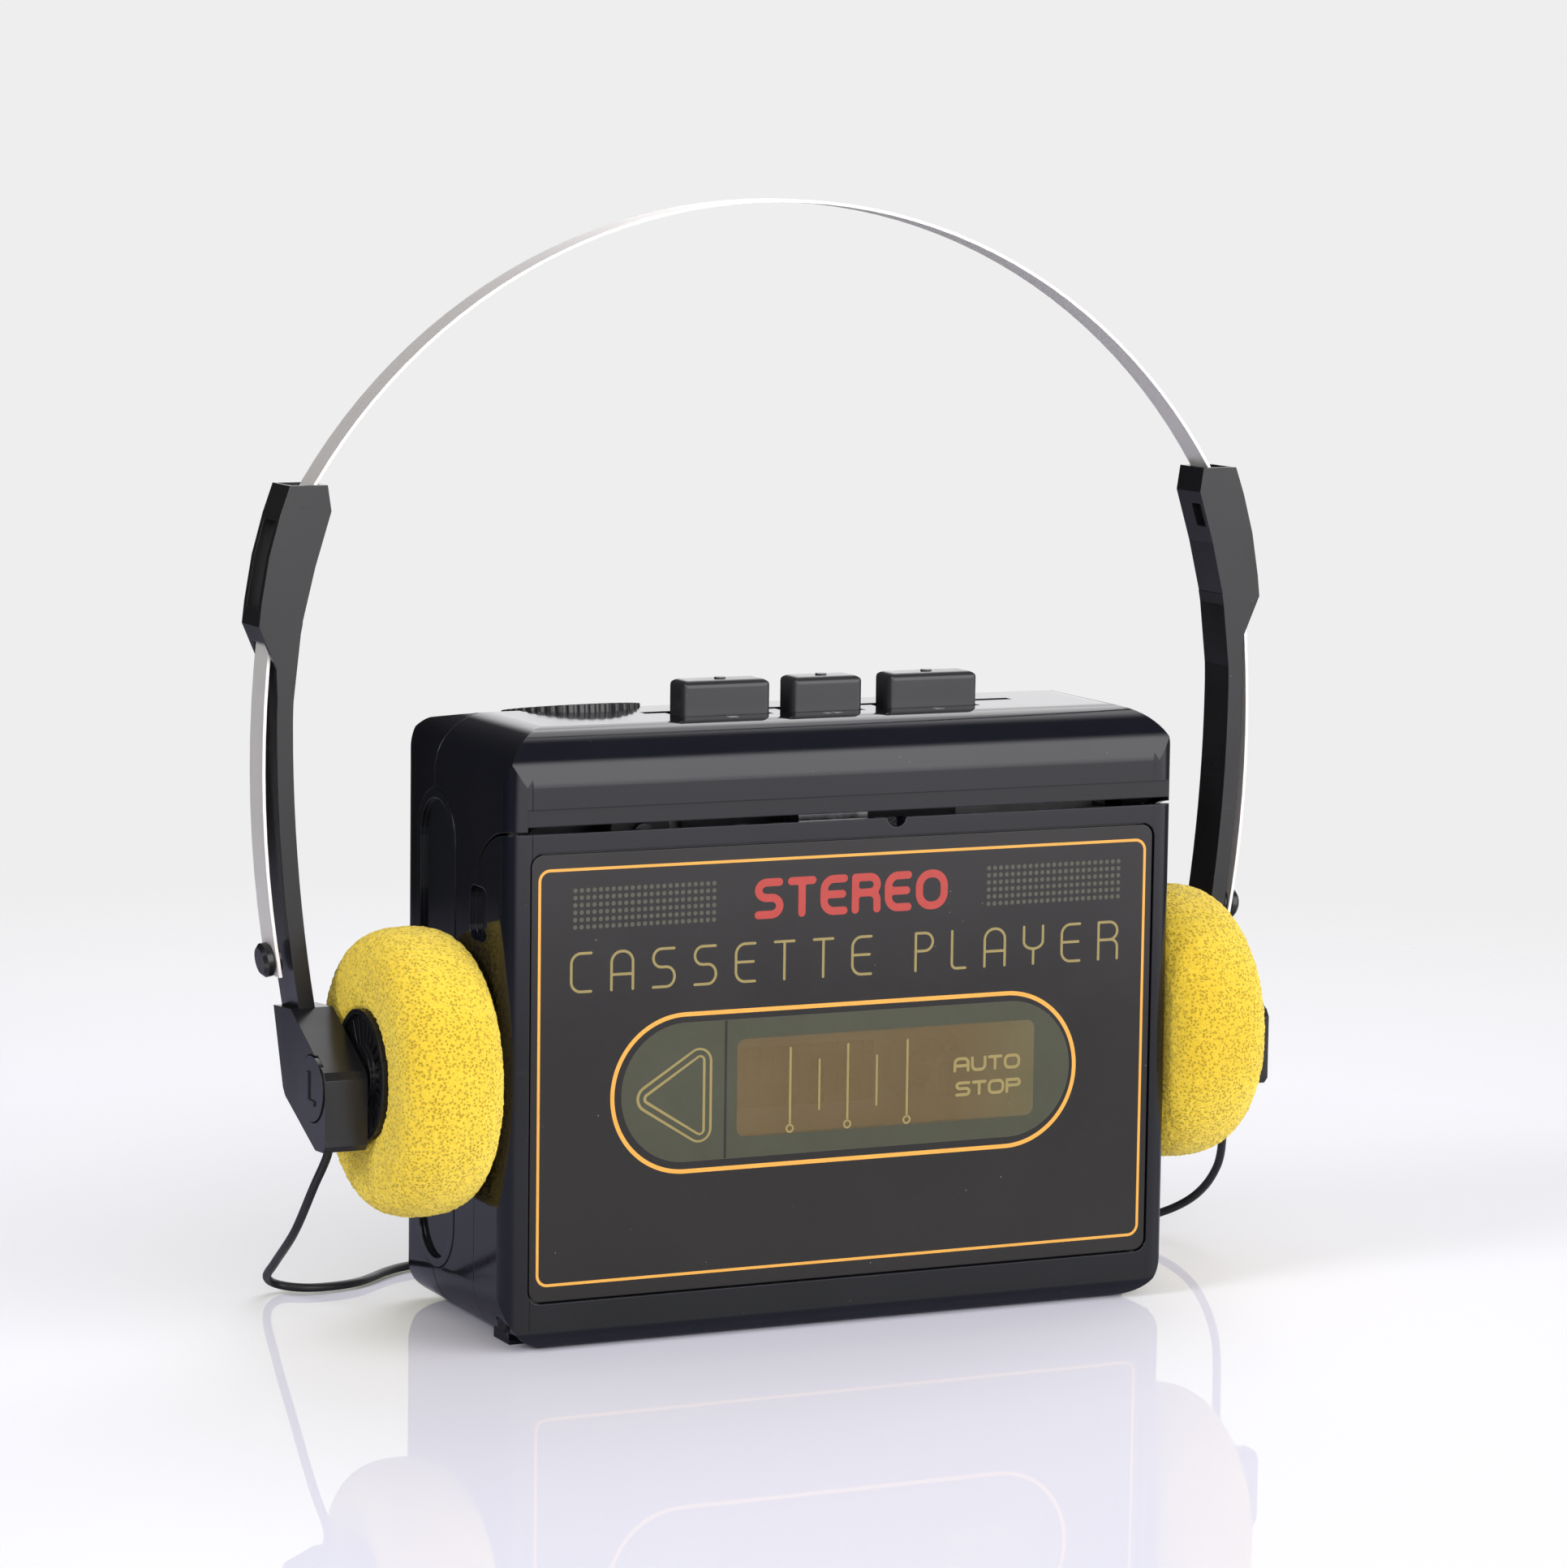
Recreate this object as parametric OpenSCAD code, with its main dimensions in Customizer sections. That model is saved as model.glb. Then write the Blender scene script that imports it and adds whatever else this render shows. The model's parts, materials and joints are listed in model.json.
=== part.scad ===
// Portable cassette player with a clamp-on foam headset.
// X is right, Y is depth (the front faces -Y), Z is up; the base stands on Z = 0.

/* [Case] */
// Overall width of the player
case_width = 115.5; // [100:0.5:130]
// Overall height of the player without the keys
case_height = 95.9; // [85:0.1:110]
// Distance from the middle plane to the front face
front_reach = 22; // [18:0.5:26]
// Distance from the middle plane to the back face
back_reach = 22; // [18:0.5:26]
// Corner radius of the case outline seen from the front
outline_radius = 9; // [4:0.5:14]
// Moulded wall thickness
wall = 2.2; // [1.5:0.1:3]
// Rounding of the long top front edge
brow_radius = 8.4; // [4:0.1:12]
// Rounding of the rear edges
rear_radius = 4.2; // [2:0.1:6]
// Angle by which the top of the rear shell falls towards the back
rear_slope = 9; // [0:0.5:12]
// Depth position of the seam between front case and rear shell
shell_seam_y = 7.9; // [5:0.1:12]

/* [Door] */
// Depth of the cassette door
door_depth = 12.6; // [10:0.1:16]
// Height of the top edge of the door
door_top = 80.4; // [70:0.1:90]
// Rounding of the vertical front edges
side_radius = 3.3; // [1:0.1:5]
// Width of the dark gap round the door
door_gap = 1; // [0.4:0.1:1.5]
// Radius of the rounded lower lip, also the height of the hinge axis
lip_radius = 4.2; // [3:0.1:6]
// Largest opening angle of the door
door_open_angle = 45; // [30:1:60]

/* [Front panel] */
// Half width of the inset front panel
panel_half_width = 53.9; // [45:0.1:56]
// Lower edge of the inset front panel
panel_bottom = 7.7; // [5:0.1:15]
// Upper edge of the inset front panel
panel_top = 77.5; // [70:0.1:80]
// Left end of the viewing window
window_left = -19; // [-30:0.5:0]
// Right end of the viewing window
window_right = 33; // [10:0.5:40]
// Lower edge of the viewing window
window_bottom = 31.4; // [25:0.1:38]
// Upper edge of the viewing window
window_top = 46.9; // [40:0.1:55]

/* [Keys] */
// Height of the key caps above the case
key_height = 5.5; // [3:0.1:8]
// Depth of a key cap from front to back
key_depth = 5.6; // [4:0.1:9]
// Front face of the key caps
key_front_y = -9; // [-12:0.1:-4]
// Key travel
key_travel = 4; // [2:0.1:5]

/* [Deck] */
// Height of the two reel centres above the base
reel_height = 38; // [34:0.5:42]
// Half the distance between the reel centres
reel_half_pitch = 21.25; // [20:0.05:22]
// Front face of the chassis plate
chassis_y = -5; // [-7:0.1:-3]
// Chassis plate thickness
chassis_thick = 1.2; // [0.8:0.1:2]
// Flywheel radius
flywheel_radius = 16; // [12:0.5:18]

/* [Volume wheel] */
// Radius of the volume wheel
volume_radius = 11; // [9:0.1:13]
// How far the wheel stands proud of the top
volume_proud = 0.5; // [0.3:0.1:1.5]

/* [Headset] */
// Radius of the steel band over the player
band_radius = 92.3; // [80:0.1:100]
// Top of the steel band above the base
band_top = 175.5; // [160:0.5:190]
// Width of the steel band
band_width = 5.8; // [4:0.1:8]
// Thickness of the steel band
band_thick = 0.5; // [0.3:0.05:0.8]
// Depth position of the steel band and the arms
band_y = 9; // [5:0.1:14]
// Diameter of the foam ear pads
pad_diameter = 45; // [40:0.5:50]
// Thickness of the foam ear pads
pad_thick = 16.6; // [12:0.1:20]
// Depth position of the ear pad centres
ear_y = -4.7; // [-8:0.1:2]
// Height of the ear pad centres
ear_z = 42; // [36:0.1:48]
// Travel of the arms along the band
arm_travel = 5; // [3:0.5:8]

/* [Cords] */
// Diameter of the two thin ear cords
thin_cord = 1.4; // [1:0.1:2]
// Diameter of the main cord
main_cord = 2; // [1.6:0.1:3]

/* [Output] */
// Which sub-part to show

/* [Hidden] */
$fn = 48;
eps = 0.01;
fit_gap = 0.3;
half_w = case_width / 2;
slope_y = shell_seam_y - 1;
front_y = -front_reach;
door_back_y = front_y + door_depth;
hinge_y = front_y + lip_radius;
hinge_z = lip_radius;
cheek_thick = 3.4;
cheek_in = half_w - cheek_thick;
cheek_heel = 8.4;
door_wall = 2.4;
door_in_y = front_y + door_wall;
arc_sag = 5.7;
arc_r = (pow(door_depth - door_gap, 2) + pow(arc_sag, 2)) / (2 * arc_sag);
ledge_z = door_top + door_gap;
ledge_top = 84.1;
ledge_set_back = 1.1;
ledge_end = 3.4;
side_gap = 0.4;
chassis_back = chassis_y + chassis_thick;
bay_half = 51.6;
bay_bottom = 7.5;
hinge_pin_r = 1.5;
barrel_half = 44;
seam_gap = 0.3;
capstan_x = -33;
capstan_z = 68;
capstan_r = 1.1;
pinch_r = 5;
pinch_axis_x = -47;
motor_x = 36;
motor_z = 62;
motor_r = 12;
pulley_r = 3.2;
belt_r = 14.6;
belt_y = 0.2;
idler_r = 8.4;
takeup_gear_r = 10.9;
pinion_r = 3.8;
board_y = 9;
vol_x = -33;
vol_y = 12.5;
vol_top = case_height - (vol_y - slope_y) * tan(rear_slope);
ear_in = half_w + 0.35;
ear_out = ear_in + pad_thick;
rear_in_y = back_reach - wall;
tray_left = -54;
tray_right = -1;
tray_low = 4.6;
tray_high = 36.4;
lid_thick = 1.8;
screw_x = 50;
headrun_z = 77;
wedge = 400;
band_c1 = [0, band_top - band_radius];
bend_a = 32;
leg_a = 8;
leg_end_a = -10;
bend_r = 46;
leg_r = 186;
bend_p = band_c1 + band_radius * [cos(bend_a), sin(bend_a)];
band_c2 = bend_p - bend_r * [cos(bend_a), sin(bend_a)];
leg_p = band_c2 + bend_r * [cos(leg_a), sin(leg_a)];
band_c3 = leg_p - leg_r * [cos(leg_a), sin(leg_a)];
leg_end = band_c3 + leg_r * [cos(leg_end_a), sin(leg_end_a)];
knob_z = 58.6;
rivet_r = 1;
arm_lo_c = [-181.7, 95];
arm_lo_r = 264;
arm_up_c = [1.3, 95];
arm_up_r = 81;
arm_thick = 2.6;
arm_wide = 8;
block_in = ear_out + 1;
block_out = block_in + 6.9;
cord_exit_x = 79;
cord_exit_y = -2.2;
coil_x = 34;
coil_y = 49;
coil_r = 11;
entry_y = coil_y - coil_r - 4;
plug_y = 11;
plug_z = 77;
jack_collar_r = 3.6;

front_case();
rear_shell();
side_trim_left();
side_trim_right();
door_shell();
door_panel();
door_window();
cassette_guides();
door_catch();
hinge_pins();
stop_key();
forward_key();
play_key();
key_spring();
chassis_plate();
chassis_screws();
case_screws();
bay_strip();
supply_reel();
takeup_reel();
flywheel();
idler_wheel();
drive_belt();
motor();
motor_pulley();
head_plate();
tape_head();
pinch_arm();
pinch_roller();
circuit_board();
board_parts();
volume_pot();
volume_wheel();
headphone_jack();
battery_lid();
battery_contacts();
headband();
band_knobs();
arm_left();
ear_block_left();
badge_left();
housing_left();
driver_left();
pad_left();
arm_right();
ear_block_right();
badge_right();
housing_right();
driver_right();
pad_right();
cord_left();
cord_right();
cord_splitter();
cord_coil();
cord_tie();
cord_main();
plug();

// ---- shared shapes ----

// Rounded rectangle centred on a point
module rrect(cx, cy, w, h, r) {
  translate([cx, cy]) {
    square([w - 2 * r, h], center = true);
    square([w, h - 2 * r], center = true);
    for (sx = [-1, 1], sy = [-1, 1])
      translate([sx * (w / 2 - r), sy * (h / 2 - r)]) circle(r);
  }
}

// Turns a drawing in (x, z) into a slab from y0 to y1
module slab_y(y0, y1) {
  translate([0, y1, 0]) rotate([90, 0, 0]) linear_extrude(y1 - y0) children();
}

// Turns a drawing in (y, z) into a bar from x0 to x1
module bar_x(x0, x1) {
  translate([x0, 0, 0]) rotate([90, 0, 90]) linear_extrude(x1 - x0) children();
}

module block(x0, x1, y0, y1, z0, z1) {
  translate([x0, y0, z0]) cube([x1 - x0, y1 - y0, z1 - z0]);
}

module rod_y(x, z, r, y0, y1) {
  translate([x, y0, z]) rotate([-90, 0, 0]) cylinder(r = r, h = y1 - y0);
}

module rod_x(y, z, r, x0, x1) {
  translate([x0, y, z]) rotate([0, 90, 0]) cylinder(r = r, h = x1 - x0);
}

module rod_z(x, y, r, z0, z1) {
  translate([x, y, z0]) cylinder(r = r, h = z1 - z0);
}

module outline(inset) {
  rrect(0, case_height / 2, case_width - 2 * inset, case_height - 2 * inset, outline_radius - inset);
}

// Side profile of the whole case, in (y, z)
module side_profile(inset) {
  f = front_y + inset;
  b = back_reach - inset;
  t = case_height - inset;
  rb = brow_radius - inset;
  rr = rear_radius - inset / 2;
  rl = lip_radius - inset / 2;
  rear_y = b - rr;
  rear_z = t - (rr + sin(rear_slope) * (rear_y - slope_y)) / cos(rear_slope);
  polygon([[f + rb, t], [slope_y, t], [rear_y + rr * sin(rear_slope), rear_z + rr * cos(rear_slope)],
           [b, rear_z], [b, inset + rr], [rear_y, inset], [f + rl, inset], [f, inset + rl], [f, t - rb]]);
  translate([f + rb, t - rb]) circle(rb);
  translate([f + rl, inset + rl]) circle(rl);
  translate([rear_y, rear_z]) circle(rr);
  translate([rear_y, inset + rr]) circle(rr);
}

// Plan outline of the whole case, in (x, y)
module plan_profile(inset) {
  hw = half_w - inset;
  f = front_y + inset;
  b = back_reach - inset;
  rs = side_radius - inset / 2;
  rr = rear_radius - inset / 2;
  translate([-hw + rr, f]) square([2 * (hw - rr), b - f]);
  translate([-hw, f + rs]) square([2 * hw, b - f - rs - rr]);
  for (s = [-1, 1]) {
    translate([s * (hw - rs), f + rs]) circle(rs);
    translate([s * (hw - rr), b - rr]) circle(rr);
  }
}

module full_body(inset) {
  intersection() {
    slab_y(front_y - 1, back_reach + 1) outline(inset);
    bar_x(-half_w - 1, half_w + 1) side_profile(inset);
    translate([0, 0, -1]) linear_extrude(case_height + 2) plan_profile(inset);
  }
}

// Inside of the walls between two depths
module cavity(y0, y1) {
  intersection() {
    slab_y(y0, y1) outline(wall);
    bar_x(-half_w, half_w) side_profile(wall);
  }
}

// Side outline of the door in (y, z), grown by a gap
module door_profile(grow) {
  arc_z = door_top - arc_r;
  rear = door_back_y + grow * 0.3;
  shoulder = arc_z + sqrt(pow(arc_r + grow, 2) - pow(rear - front_y, 2));
  translate([front_y - 1, hinge_z]) square([rear - front_y + 1, shoulder - hinge_z]);
  intersection() {
    translate([front_y, arc_z]) circle(arc_r + grow);
    translate([front_y - 1, hinge_z]) square([rear - front_y + 1, wedge]);
  }
  intersection() {
    translate([hinge_y, hinge_z]) circle(cheek_heel + grow * 0.3);
    translate([hinge_y - wedge, -1]) square([2 * wedge, hinge_z + 1 + eps]);
    translate([front_y - 1, -1]) square([door_depth + 1 + grow, hinge_z + 2]);
  }
}

// Turns a part from the flat top onto the sloping rear top, about the centre of the volume wheel
module on_slope() {
  translate([vol_x, vol_y, vol_top]) rotate([-rear_slope, 0, 0]) translate([-vol_x, -vol_y, -case_height])
    children();
}

// ---- case ----

module top_cuts() {
  for (k = [0:2]) key_hole(k);
  block(-27, 37.5, key_front_y + key_depth + 0.2, key_front_y + key_depth + 2.4,
        case_height - 1.2, case_height + 1);
  on_slope() rod_z(vol_x, vol_y, volume_radius + 0.4, 92.4, case_height + 3);
}

// Finger recesses on both sides that straddle the door seam
module finger_scallops() {
  for (s = [-1, 1]) bar_x(s > 0 ? half_w - 1.2 : -half_w - 1, s > 0 ? half_w + 1 : -half_w + 1.2)
    rrect(-10.4, 67, 7.2, 8.4, 2);
}

module trim_seat(s) {
  bar_x(s > 0 ? half_w - 1.1 : -half_w - 1, s > 0 ? half_w + 1 : -half_w + 1.1)
    rrect(7.15, 46.2, 16.4, 76, 8);
}

module front_case() {
  color("#14161c") difference() {
    full_body(0);
    block(-60, 60, shell_seam_y, back_reach + 1, -1, case_height + 1);
    bar_x(-half_w - 1, half_w + 1) door_profile(side_gap);
    bar_x(-half_w + ledge_end, half_w - 0.9) door_profile(door_gap);
    cavity(chassis_y, shell_seam_y + 1);
    block(-bay_half, bay_half, door_back_y - 2, chassis_y + 1, bay_bottom, 92);
    intersection() {
      cavity(-17.5, chassis_y + 1);
      block(-60, 60, -20, 10, 79, case_height);
    }
    block(-bay_half, bay_half, -17.5, chassis_y + 1, 60, 80);
    rod_x(plug_y, plug_z, jack_collar_r + 0.1, half_w - 5, half_w + 1);
    block(-half_w + wall, half_w - wall, -19.8, -17, 79, 90);
    block(-half_w + ledge_end, half_w + 1, front_y - 1, front_y + ledge_set_back, ledge_z - 1, ledge_top);
    top_cuts();
    trim_seat(-1);
    trim_seat(1);
    finger_scallops();
    for (s = [-1, 1]) rod_y(s * screw_x, 4.9, 1.3, chassis_y - 3, 6);
  }
  color("#14161c") difference() {
    union() {
      block(-cheek_in + 0.4, cheek_in - 0.4, hinge_y + 3, door_back_y + 1, 0, wall);
      for (s = [-1, 1]) bar_x(s > 0 ? 45.6 : -49.6, s > 0 ? 49.6 : -45.6) {
        translate([hinge_y, hinge_z]) circle(2.9);
        translate([hinge_y, hinge_z - 0.2]) square([door_back_y + 1 - hinge_y, 2.6]);
        translate([hinge_y + 6, wall - 0.5]) square([door_back_y + 1 - hinge_y - 6, 4]);
      }
    }
    for (s = [-1, 1]) rod_x(hinge_y, hinge_z, hinge_pin_r, s > 0 ? 45 : -50, s > 0 ? 50 : -45);
    intersection() {
      rod_x(hinge_y, hinge_z, lip_radius + 0.5, -60, 60);
      block(-60, 60, hinge_y - 9, hinge_y + 9, -1, wall + 0.2);
    }
  }
}

module rear_shell() {
  color("#15171d") difference() {
    full_body(0);
    block(-60, 60, front_y - 1, shell_seam_y + seam_gap, -1, case_height + 1);
    difference() {
      cavity(shell_seam_y - 1, rear_in_y);
      block(tray_left - 3, tray_right + 1.4, shell_seam_y - 2, back_reach, 0, tray_high + 1.4);
      for (s = [-1, 1], z = [86, 42]) if (s > 0 || z > 50) rod_y(s * screw_x, z, 3.4, 6, 22);
    }
    block(tray_left, tray_right, 5, rear_in_y + 1, tray_low, tray_high);
    block(tray_left - 0.7, tray_right + 0.3, back_reach - lid_thick - 0.3, back_reach + 1,
          tray_low - 1, tray_high + 1.2);
    on_slope() rod_z(vol_x, vol_y, volume_radius + 0.4, 92.4, case_height + 3);
    trim_seat(-1);
    trim_seat(1);
    rod_x(plug_y, plug_z, jack_collar_r + 0.1, half_w - 5, half_w + 1);
    for (s = [-1, 1], z = [86, 42]) if (s > 0 || z > 50) {
      rod_y(s * screw_x, z, 1.3, 6, 22.5);
      rod_y(s * screw_x, z, 2.9, 19, 22.5);
    }
  }
  color("#15171d") difference() {
    intersection() {
      block(tray_left - 1.3, tray_right + 1.4, 4.4, shell_seam_y + seam_gap + 0.2,
            tray_low - 1.5, tray_high + 1.4);
      slab_y(4, 12) outline(wall + fit_gap);
    }
    block(tray_left, tray_right, 5.8, 12, tray_low, tray_high);
  }
}

// Oblong trim with a raised rim, split along the shell seam by a narrow groove
module side_trim(s, jack) {
  x0 = s > 0 ? half_w - 1.1 : -half_w - 0.1;
  x1 = s > 0 ? half_w + 0.1 : -half_w + 1.1;
  difference() {
    bar_x(x0, x1) rrect(7.15, 46.2, 16.1, 75.7, 7.9);
    bar_x(s > 0 ? half_w - 0.6 : -half_w - 1, s > 0 ? half_w + 1 : -half_w + 0.6)
      rrect(7.15, 46.2, 13.4, 73, 6.6);
    if (jack) rod_x(plug_y, plug_z, jack_collar_r + 0.1, half_w - 3, half_w + 2);
  }
}

module side_trim_left() {
  color("#101218") side_trim(-1, false);
}

module side_trim_right() {
  color("#101218") side_trim(1, true);
}

module bay_strip() {
  color("#2b2620") difference() {
    block(-11.6, 12.2, chassis_y - 1.2, chassis_y, 32.6, 42.2);
    for (k = [0:9]) block(-10.6 + k * 2.25, -9.9 + k * 2.25, chassis_y - 1.6, chassis_y - 0.6, 32, 43);
    for (k = [0:3]) block(-12, 13, chassis_y - 1.6, chassis_y - 0.8, 34 + k * 2.2, 34.5 + k * 2.2);
  }
}

module door_catch() {
  color("#a8acb0") {
    block(-2.5, 2.5, -16.4, -15.8, 81.6, 90.2);
    block(-2.5, 2.5, -16.4, -14.6, 89.6, 90.2);
    block(-2.5, 2.5, -15.2, -14.6, 89.6, 93.45);
    rod_x(-16.9, 81.7, 0.8, -2.5, 2.5);
  }
}

module hinge_pins() {
  color("#b4b7ba") for (s = [-1, 1])
    rod_x(hinge_y, hinge_z, hinge_pin_r - 0.05, s > 0 ? 45.6 : -half_w + 1.2, s > 0 ? half_w - 1.2 : -45.6);
}

// ---- door ----

// Side outline of the door itself in (y, z)
module door_side() {
  arc_z = door_top - arc_r;
  shoulder = arc_z + sqrt(pow(arc_r, 2) - pow(door_depth, 2));
  translate([front_y, hinge_z]) square([door_depth, shoulder - hinge_z]);
  intersection() {
    translate([front_y, arc_z]) circle(arc_r);
    translate([front_y, shoulder - 1]) square([door_depth, wedge]);
  }
  translate([hinge_y, hinge_z]) circle(lip_radius);
  intersection() {
    translate([hinge_y, hinge_z]) circle(cheek_heel);
    translate([hinge_y, 0]) square([cheek_heel + 1, hinge_z + 1]);
  }
}

module door_body() {
  intersection() {
    slab_y(front_y - 1, door_back_y + 1) outline(0);
    bar_x(-half_w - 1, half_w + 1) door_side();
    translate([0, 0, -1]) linear_extrude(case_height + 2) plan_profile(0);
  }
}

module door_shell() {
  color("#14161c") difference() {
    door_body();
    block(-cheek_in, cheek_in, door_in_y, door_back_y + 1, hinge_z + lip_radius + 0.2, door_top - 2);
    block(-cheek_in, cheek_in, hinge_y, door_back_y + 1, -1, door_top - 2);
    block(-cheek_in, cheek_in, front_y + 4.9, door_back_y + 1, -1, case_height);
    slab_y(front_y - 1, front_y + 1.5)
      rrect(0, (panel_top + panel_bottom) / 2, 2 * panel_half_width, panel_top - panel_bottom, 2.2);
    slab_y(front_y - 1, door_in_y + 1) translate([window_left - 2, window_bottom - 2])
      square([window_right - window_left + 4, window_top - window_bottom + 4]);
    rod_y(7.9, door_top + 0.2, 1.7, front_y - 1, door_in_y + 1);
    finger_scallops();
    for (s = [-1, 1]) rod_x(hinge_y, hinge_z, 3.3, s > 0 ? 45.2 : -50, s > 0 ? 50 : -45.2);
    for (s = [-1, 1]) rod_x(hinge_y, hinge_z, hinge_pin_r + 0.02, s > 0 ? 49.5 : -56.9, s > 0 ? 56.9 : -49.5);
  }
  color("#14161c") difference() {
    rod_x(hinge_y, hinge_z, lip_radius - 0.25, -barrel_half, barrel_half);
    rod_x(hinge_y, hinge_z, 2.4, -barrel_half - 1, barrel_half + 1);
  }
}

module door_panel() {
  color("#2c2629") difference() {
    slab_y(front_y + 0.25, front_y + 1.5) rrect(0, (panel_top + panel_bottom) / 2,
      2 * panel_half_width - 0.6, panel_top - panel_bottom - 0.6, 1.9);
    slab_y(front_y - 1, front_y + 2) rrect((window_left + window_right) / 2,
      (window_bottom + window_top) / 2, window_right - window_left, window_top - window_bottom, 1.4);
  }
}

module door_window() {
  color("#7a6040") slab_y(front_y + 0.25, front_y + 1.5) rrect((window_left + window_right) / 2,
    (window_bottom + window_top) / 2, window_right - window_left, window_top - window_bottom, 1.4);
}

// Two U-shaped rails on the inside of the door that hold the cassette
module cassette_guides() {
  color("#1b1d22") for (s = [-1, 1]) {
    x0 = s > 0 ? 50.7 : -cheek_in;
    x1 = s > 0 ? cheek_in : -50.7;
    difference() {
      block(x0, x1, door_in_y, door_back_y - 0.1, 10, 60);
      block(s > 0 ? 50 : -52.4, s > 0 ? 52.4 : -50, door_in_y + 0.9, door_back_y - 1.1, 9, 61);
    }
  }
}

// ---- keys ----

function key_left(k) = k == 0 ? -23.2 : k == 1 ? -4.2 : 12.6;
function key_wide(k) = k == 0 ? 15.2 : k == 1 ? 12.2 : 15.7;

module key_hole(k) {
  block(key_left(k) - 0.35, key_left(k) + key_wide(k) + 0.35, key_front_y - 0.35,
        key_front_y + key_depth + 0.35, case_height - wall - 1, case_height + 1);
}

module key_cap(k) {
  cx = key_left(k) + key_wide(k) / 2;
  top = case_height + key_height;
  intersection() {
    translate([0, 0, case_height - 5.4]) linear_extrude(key_height + 5.4)
      rrect(cx, key_front_y + key_depth / 2, key_wide(k), key_depth, 1);
    bar_x(cx - key_wide(k), cx + key_wide(k)) {
      translate([key_front_y, case_height - 6]) square([key_depth, 6 + key_height - 1.1]);
      translate([key_front_y + 1.1, case_height - 6]) square([key_depth - 2.2, 6 + key_height]);
      for (y = [key_front_y + 1.1, key_front_y + key_depth - 1.1]) translate([y, top - 1.1]) circle(1.1);
    }
    slab_y(key_front_y - 1, key_front_y + key_depth + 1)
      rrect(cx, top - 10, key_wide(k), 20, 1.6);
  }
  rod_z(cx, key_front_y + key_depth / 2, 0.9, top - 1, top + 0.25);
  block(cx - key_wide(k) / 2 + 1.6, cx + key_wide(k) / 2 - 1.6, key_front_y + 0.9, key_front_y + 2.1, 87, 91);
}

module stop_key() {
  color("#16181e") key_cap(0);
}

module forward_key() {
  color("#16181e") key_cap(1);
}

module play_key() {
  color("#16181e") key_cap(2);
}

// Leaf spring with one finger under each key
module key_spring() {
  color("#b9bcc0") {
    block(-24, 30, chassis_y - 0.5, chassis_y, 84, 85.6);
    for (k = [0:2]) {
      cx = key_left(k) + key_wide(k) / 2;
      block(cx - 1.5, cx + 1.5, chassis_y - 3.6, chassis_y - 0.1, 84.9, 85.4);
    }
  }
}

// ---- tape deck ----

module chassis_plate() {
  color("#8d9094") difference() {
    union() {
      slab_y(chassis_y, chassis_back) rrect(0, 45.25, 108, 81.5, 3);
      for (s = [-1, 1]) rod_y(s * reel_half_pitch, reel_height, 3, chassis_back - eps, chassis_back + 1.2);
      rod_y(capstan_x, capstan_z, 2.6, chassis_y - 1.6, chassis_back);
      for (x = [-12, 12]) rod_y(x, 80.6, 1, chassis_y - 2.4, chassis_y + eps);
      rod_y(pinch_axis_x, headrun_z, 1.2, chassis_y - 4.4, chassis_y + eps);
    }
    for (s = [-1, 1]) rod_y(s * reel_half_pitch, reel_height, 1.55, chassis_y - 1, chassis_back + 2);
    rod_y(capstan_x, capstan_z, capstan_r + 0.04, chassis_y - 3, chassis_back + 1);
    rod_y(-28.4, 56.3, 1.1, chassis_y - 1, chassis_back + 1);
    rod_y(motor_x, motor_z, 3.4, chassis_y - 1, chassis_back + 1);
    for (s = [-1, 1], z = [12, 66]) rod_y(s * screw_x, z, 1.2, chassis_y - 1, chassis_back + 1);
    for (x = [-8, 20]) slab_y(chassis_y - 1, chassis_back + 1) rrect(x, 60, 9, 5, 1.5);
    slab_y(chassis_y - 1, chassis_back + 1) rrect(0, 20, 46, 10, 3);
  }
}

module chassis_screws() {
  color("#c2c4c6") for (s = [-1, 1], z = [12, 66]) {
    rod_y(s * screw_x, z, 2.2, chassis_back, chassis_back + 1.3);
    rod_y(s * screw_x, z, 1.15, chassis_y - 0.2, chassis_back + 0.2);
  }
}

module case_screws() {
  color("#b0b2b5") for (s = [-1, 1], z = [86, 42]) if (s > 0 || z > 50) difference() {
    union() {
      rod_y(s * screw_x, z, 2.6, 19, 20.6);
      rod_y(s * screw_x, z, 1.25, 9, 19.2);
    }
    block(s * screw_x - 1.6, s * screw_x + 1.6, 20.1, 21, z - 0.3, z + 0.3);
    block(s * screw_x - 0.3, s * screw_x + 0.3, 20.1, 21, z - 1.6, z + 1.6);
  }
}

// Reel table with a three-finned spindle
module reel(x) {
  translate([x, 0, reel_height]) {
    rod_y(0, 0, 6.5, chassis_y - 2.1, chassis_y - 0.3);
    rod_y(0, 0, 3.1, chassis_y - 10, chassis_y - 2);
    rod_y(0, 0, 2, chassis_y - 11.4, chassis_y - 9.9);
    rod_y(0, 0, 1.5, chassis_y - 1, chassis_back + 1.5);
    for (a = [0:60:300]) rotate([0, a, 0]) block(-0.5, 0.5, chassis_y - 9.4, chassis_y - 2, 2.8, 4.4);
  }
}

module supply_reel() {
  color("#cfcabd") reel(reel_half_pitch);
}

module takeup_reel() {
  color("#cfcabd") {
    reel(-reel_half_pitch);
    rod_y(-reel_half_pitch, reel_height, 1.5, chassis_back + 1.2, chassis_back + 2);
    difference() {
      rod_y(-reel_half_pitch, reel_height, takeup_gear_r, chassis_back + 1.5, chassis_back + 2.9);
      rod_y(-reel_half_pitch, reel_height, takeup_gear_r + 1, chassis_back + 2.4, chassis_back + 2.5);
    }
    rod_y(-reel_half_pitch, reel_height, takeup_gear_r - 1.4, chassis_back + 2, chassis_back + 2.9);
  }
}

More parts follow.
